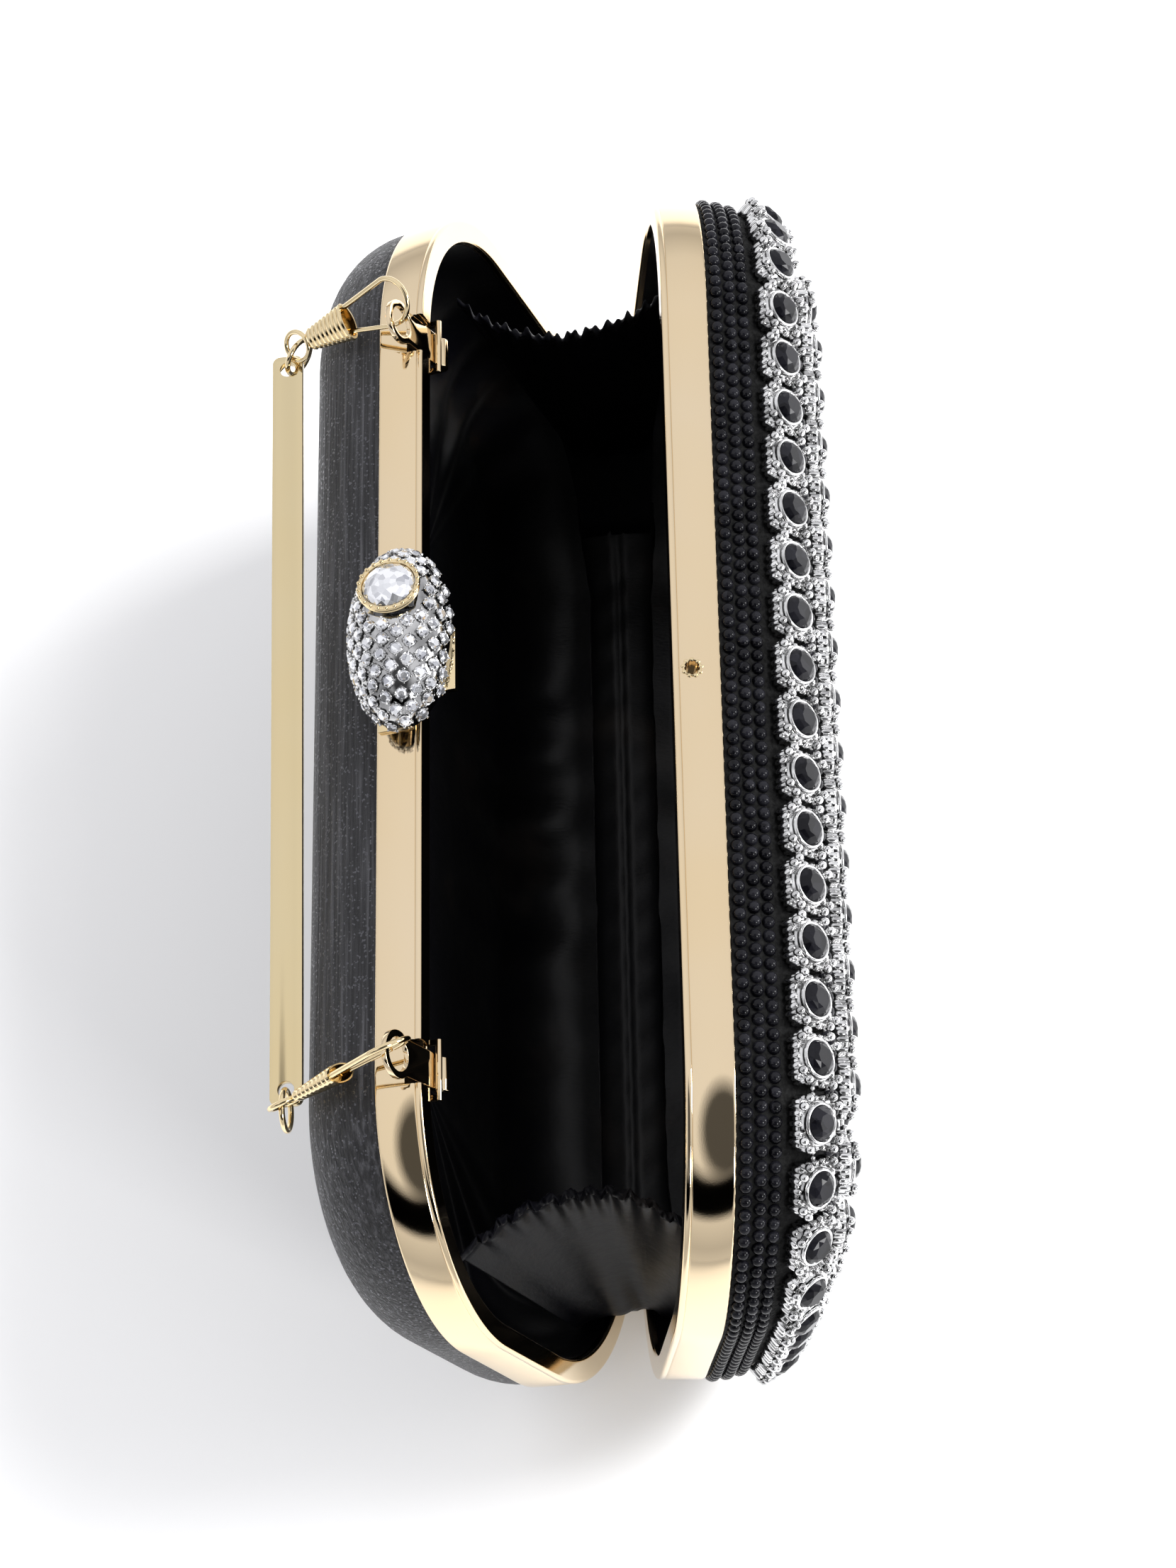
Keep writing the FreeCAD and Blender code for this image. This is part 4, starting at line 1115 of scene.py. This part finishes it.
def make_base_fold():
    fold = sheet("base_fold_satin", *BASE_FOLD_GRID, base_point, LINING)
    thicken(fold, BASE_FOLD_THICKNESS)
    bend_with_halves(fold)
    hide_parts("base_gusset")


def make_elastic(end, word, phase):
    """Gathered elastic: a plump edge whose top frills in and out."""
    columns, sides = ELASTIC_COLUMNS, ELASTIC_SIDES
    vertices, faces = [], []
    for column in range(columns + 1):
        across = 2 * column / columns - 1
        base = gusset_point(end, 1.0, across, phase)
        frill = math.sin(2.0 * GUSSET_RUFFLES * math.pi * across + phase + math.sin(9 * across))
        crimp = math.sin(4.3 * GUSSET_RUFFLES * across + 2 * phase)
        fade = min(1.0, (1 - abs(across)) * 8)
        for side in range(sides):
            angle = 2 * math.pi * side / sides
            wide = (ELASTIC_HALF_WIDTH + 0.2 * frill * fade) * math.cos(angle)
            tall = (ELASTIC_HALF_HEIGHT + 0.3 * crimp * fade) * math.sin(angle)
            shift = 0.55 * frill * fade * max(0.0, math.sin(angle))
            vertices.append(base + Vector((end * (wide + shift), 0, tall + ELASTIC_LIFT)) * MM)
    for column in range(columns):
        faces += loop_faces(column * sides, (column + 1) * sides, sides)
    faces.append(tuple(range(sides)))
    faces.append(tuple(range(columns * sides, (columns + 1) * sides)))
    band = outward_faces(new_piece(word + "_elastic_gathered", vertices, faces, GUSSET, sharp=80))
    bend_with_halves(band)
    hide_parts(word + "_elastic")


def thicken(piece, thickness):
    modifier = piece.modifiers.new("thickness", "SOLIDIFY")
    modifier.thickness = thickness * MM
    modifier.offset = 0
    bpy.context.view_layer.objects.active = piece
    bpy.ops.object.modifier_apply(modifier="thickness")


def bend_with_halves(piece):
    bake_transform(piece)


# ---- metal fittings kept from the CAD shapes ----

def soften(node, material, bevel=0.12):
    """A copy of a CAD node with small rounded edges, standing for it."""
    source = frame["nodes"][node]
    mesh = source.data.copy()
    bm = bmesh.new()
    bm.from_mesh(mesh)
    bmesh.ops.remove_doubles(bm, verts=bm.verts, dist=2e-6)
    bmesh.ops.dissolve_limit(bm, angle_limit=math.radians(0.6), verts=bm.verts, edges=bm.edges)
    bm.to_mesh(mesh)
    bm.free()
    mesh.materials.clear()
    mesh.materials.append(material)
    piece = bpy.data.objects.new(node + "_finished", mesh)
    bpy.context.scene.collection.objects.link(piece)
    modifier = piece.modifiers.new("edges", "BEVEL")
    modifier.width = bevel * MM
    modifier.segments = 2
    modifier.limit_method = "ANGLE"
    modifier.angle_limit = math.radians(40)
    bpy.context.view_layer.objects.active = piece
    bpy.ops.object.modifier_apply(modifier="edges")
    piece.data.polygons.foreach_set("use_smooth", [True] * len(piece.data.polygons))
    piece.data.set_sharp_from_angle(angle=math.radians(42))
    finish_piece(piece, node)


def repaint(node, material):
    item = frame["nodes"][node]
    item.data.materials.clear()
    item.data.materials.append(material)


def make_fittings():
    soften("handle_bar", HANDLE_GOLD, 0.3)
    for node in ("near_tab", "far_tab", "tab_keepers"):
        soften(node, GOLD, 0.12)
    for node in ("latch_bracket", "latch_lever"):
        soften(node, BRIGHT_GOLD, 0.1)
    soften("latch_dome", LATCH_SILVER, 0.1)
    for name in ("near", "far"):
        for part in ("wire", "sleeve", "gate"):
            repaint(f"{name}_hook_{part}", BRIGHT_GOLD)
    for node in ("jump_rings", "hinge_leaves_back", "hinge_leaves_front"):
        repaint(node, BRIGHT_GOLD)
    for node in (
        "hinge_rivets_back", "hinge_rivets_front", "hinge_pins", "keeper_rivets",
        "latch_rivets", "latch_pin", "latch_spring",
    ):
        repaint(node, STEEL)
    for node in ("back_shell", "front_shell"):
        repaint(node, BOARD)


# ---- room, lights and camera ----

def make_floor():
    half = FLOOR_HALF
    corners = [(-half, -half, 0), (half, -half, 0), (half, half, 0), (-half, half, 0)]
    floor = new_piece("floor", corners, [(0, 1, 2, 3)], pale_floor(), smooth=False)


def room_shade(tree, direction, axis, stops):
    """A grey that depends on how far a direction in the room turns towards an axis."""
    dot = tree.nodes.new("ShaderNodeVectorMath")
    dot.operation = "DOT_PRODUCT"
    dot.inputs[1].default_value = Vector(axis).normalized()
    tree.links.new(direction, dot.inputs[0])
    ramp = tree.nodes.new("ShaderNodeValToRGB")
    elements = ramp.color_ramp.elements
    while len(elements) < len(stops):
        elements.new(0.5)
    for element, (position, grey) in zip(elements, stops):
        element.position = position
        element.color = (grey, grey, grey * 1.01, 1)
    tree.links.new(dot.outputs["Value"], ramp.inputs["Fac"])
    return ramp.outputs["Color"]


def room_mix(tree, kind, first, second):
    mix = tree.nodes.new("ShaderNodeMix")
    mix.data_type = "RGBA"
    mix.blend_type = kind
    mix.inputs["Factor"].default_value = 1.0
    tree.links.new(first, mix.inputs["A"])
    tree.links.new(second, mix.inputs["B"])
    return mix.outputs["Result"]


def make_world():
    """A white room, dark straight above the open bag and in a band beyond its near end."""
    world = bpy.data.worlds.new("room")
    bpy.context.scene.world = world
    world.use_nodes = True
    tree = world.node_tree
    background = tree.nodes["Background"]
    direction = tree.nodes.new("ShaderNodeTexCoord").outputs["Generated"]
    walls = room_shade(tree, direction, (0, 0, 1), WALL_GREYS)
    above = room_shade(tree, direction, DARK_ABOVE, PATCH_GREYS)
    not_band = room_shade(tree, direction, (0, 0, 1), BAND_GREYS)
    not_near = room_shade(tree, direction, (-1, 0, 0), NEAR_GREYS)
    band = room_mix(tree, "LIGHTEN", not_band, not_near)
    colour = room_mix(tree, "MULTIPLY", room_mix(tree, "MULTIPLY", walls, above), band)
    tree.links.new(colour, background.inputs["Color"])
    background.inputs["Strength"].default_value = ROOM_STRENGTH


def make_light(name, place_at, aim, size, power, glossy):
    data = bpy.data.lights.new(name, "AREA")
    data.energy = power
    data.size = size
    light = bpy.data.objects.new(name, data)
    light.location = place_at
    light.rotation_euler = (Vector(aim) - Vector(place_at)).to_track_quat("-Z", "Y").to_euler()
    light.visible_glossy = glossy
    bpy.context.scene.collection.objects.link(light)


def make_camera():
    data = bpy.data.cameras.new("camera")
    data.sensor_width = CAMERA_SENSOR
    data.lens = CAMERA_LENS
    data.clip_start, data.clip_end = CAMERA_CLIP
    camera = bpy.data.objects.new("camera", data)
    bpy.context.scene.collection.objects.link(camera)
    back = -CAMERA_FORWARD.normalized()
    right = (CAMERA_RIGHT - back * CAMERA_RIGHT.dot(back)).normalized()
    up = back.cross(right)
    turn = Matrix((right, up, back)).transposed().to_4x4()
    camera.matrix_world = Matrix.Translation(HINGE + CAMERA_PLACE * MM) @ turn
    bpy.context.scene.camera = camera


make_rims()
make_coverings()
make_linings()
make_beads()
make_large_stones()
make_latch()
for end, word, phase in ((NEAR, "near", 0.4), (FAR, "far", 1.9)):
    make_gusset(end, word, phase)
    make_elastic(end, word, phase)
make_base_fold()
make_catch()
make_fittings()
make_floor()
make_world()
for light_values in LIGHTS:
    make_light(*light_values)
make_camera()
bpy.context.scene.view_settings.view_transform = "Standard"
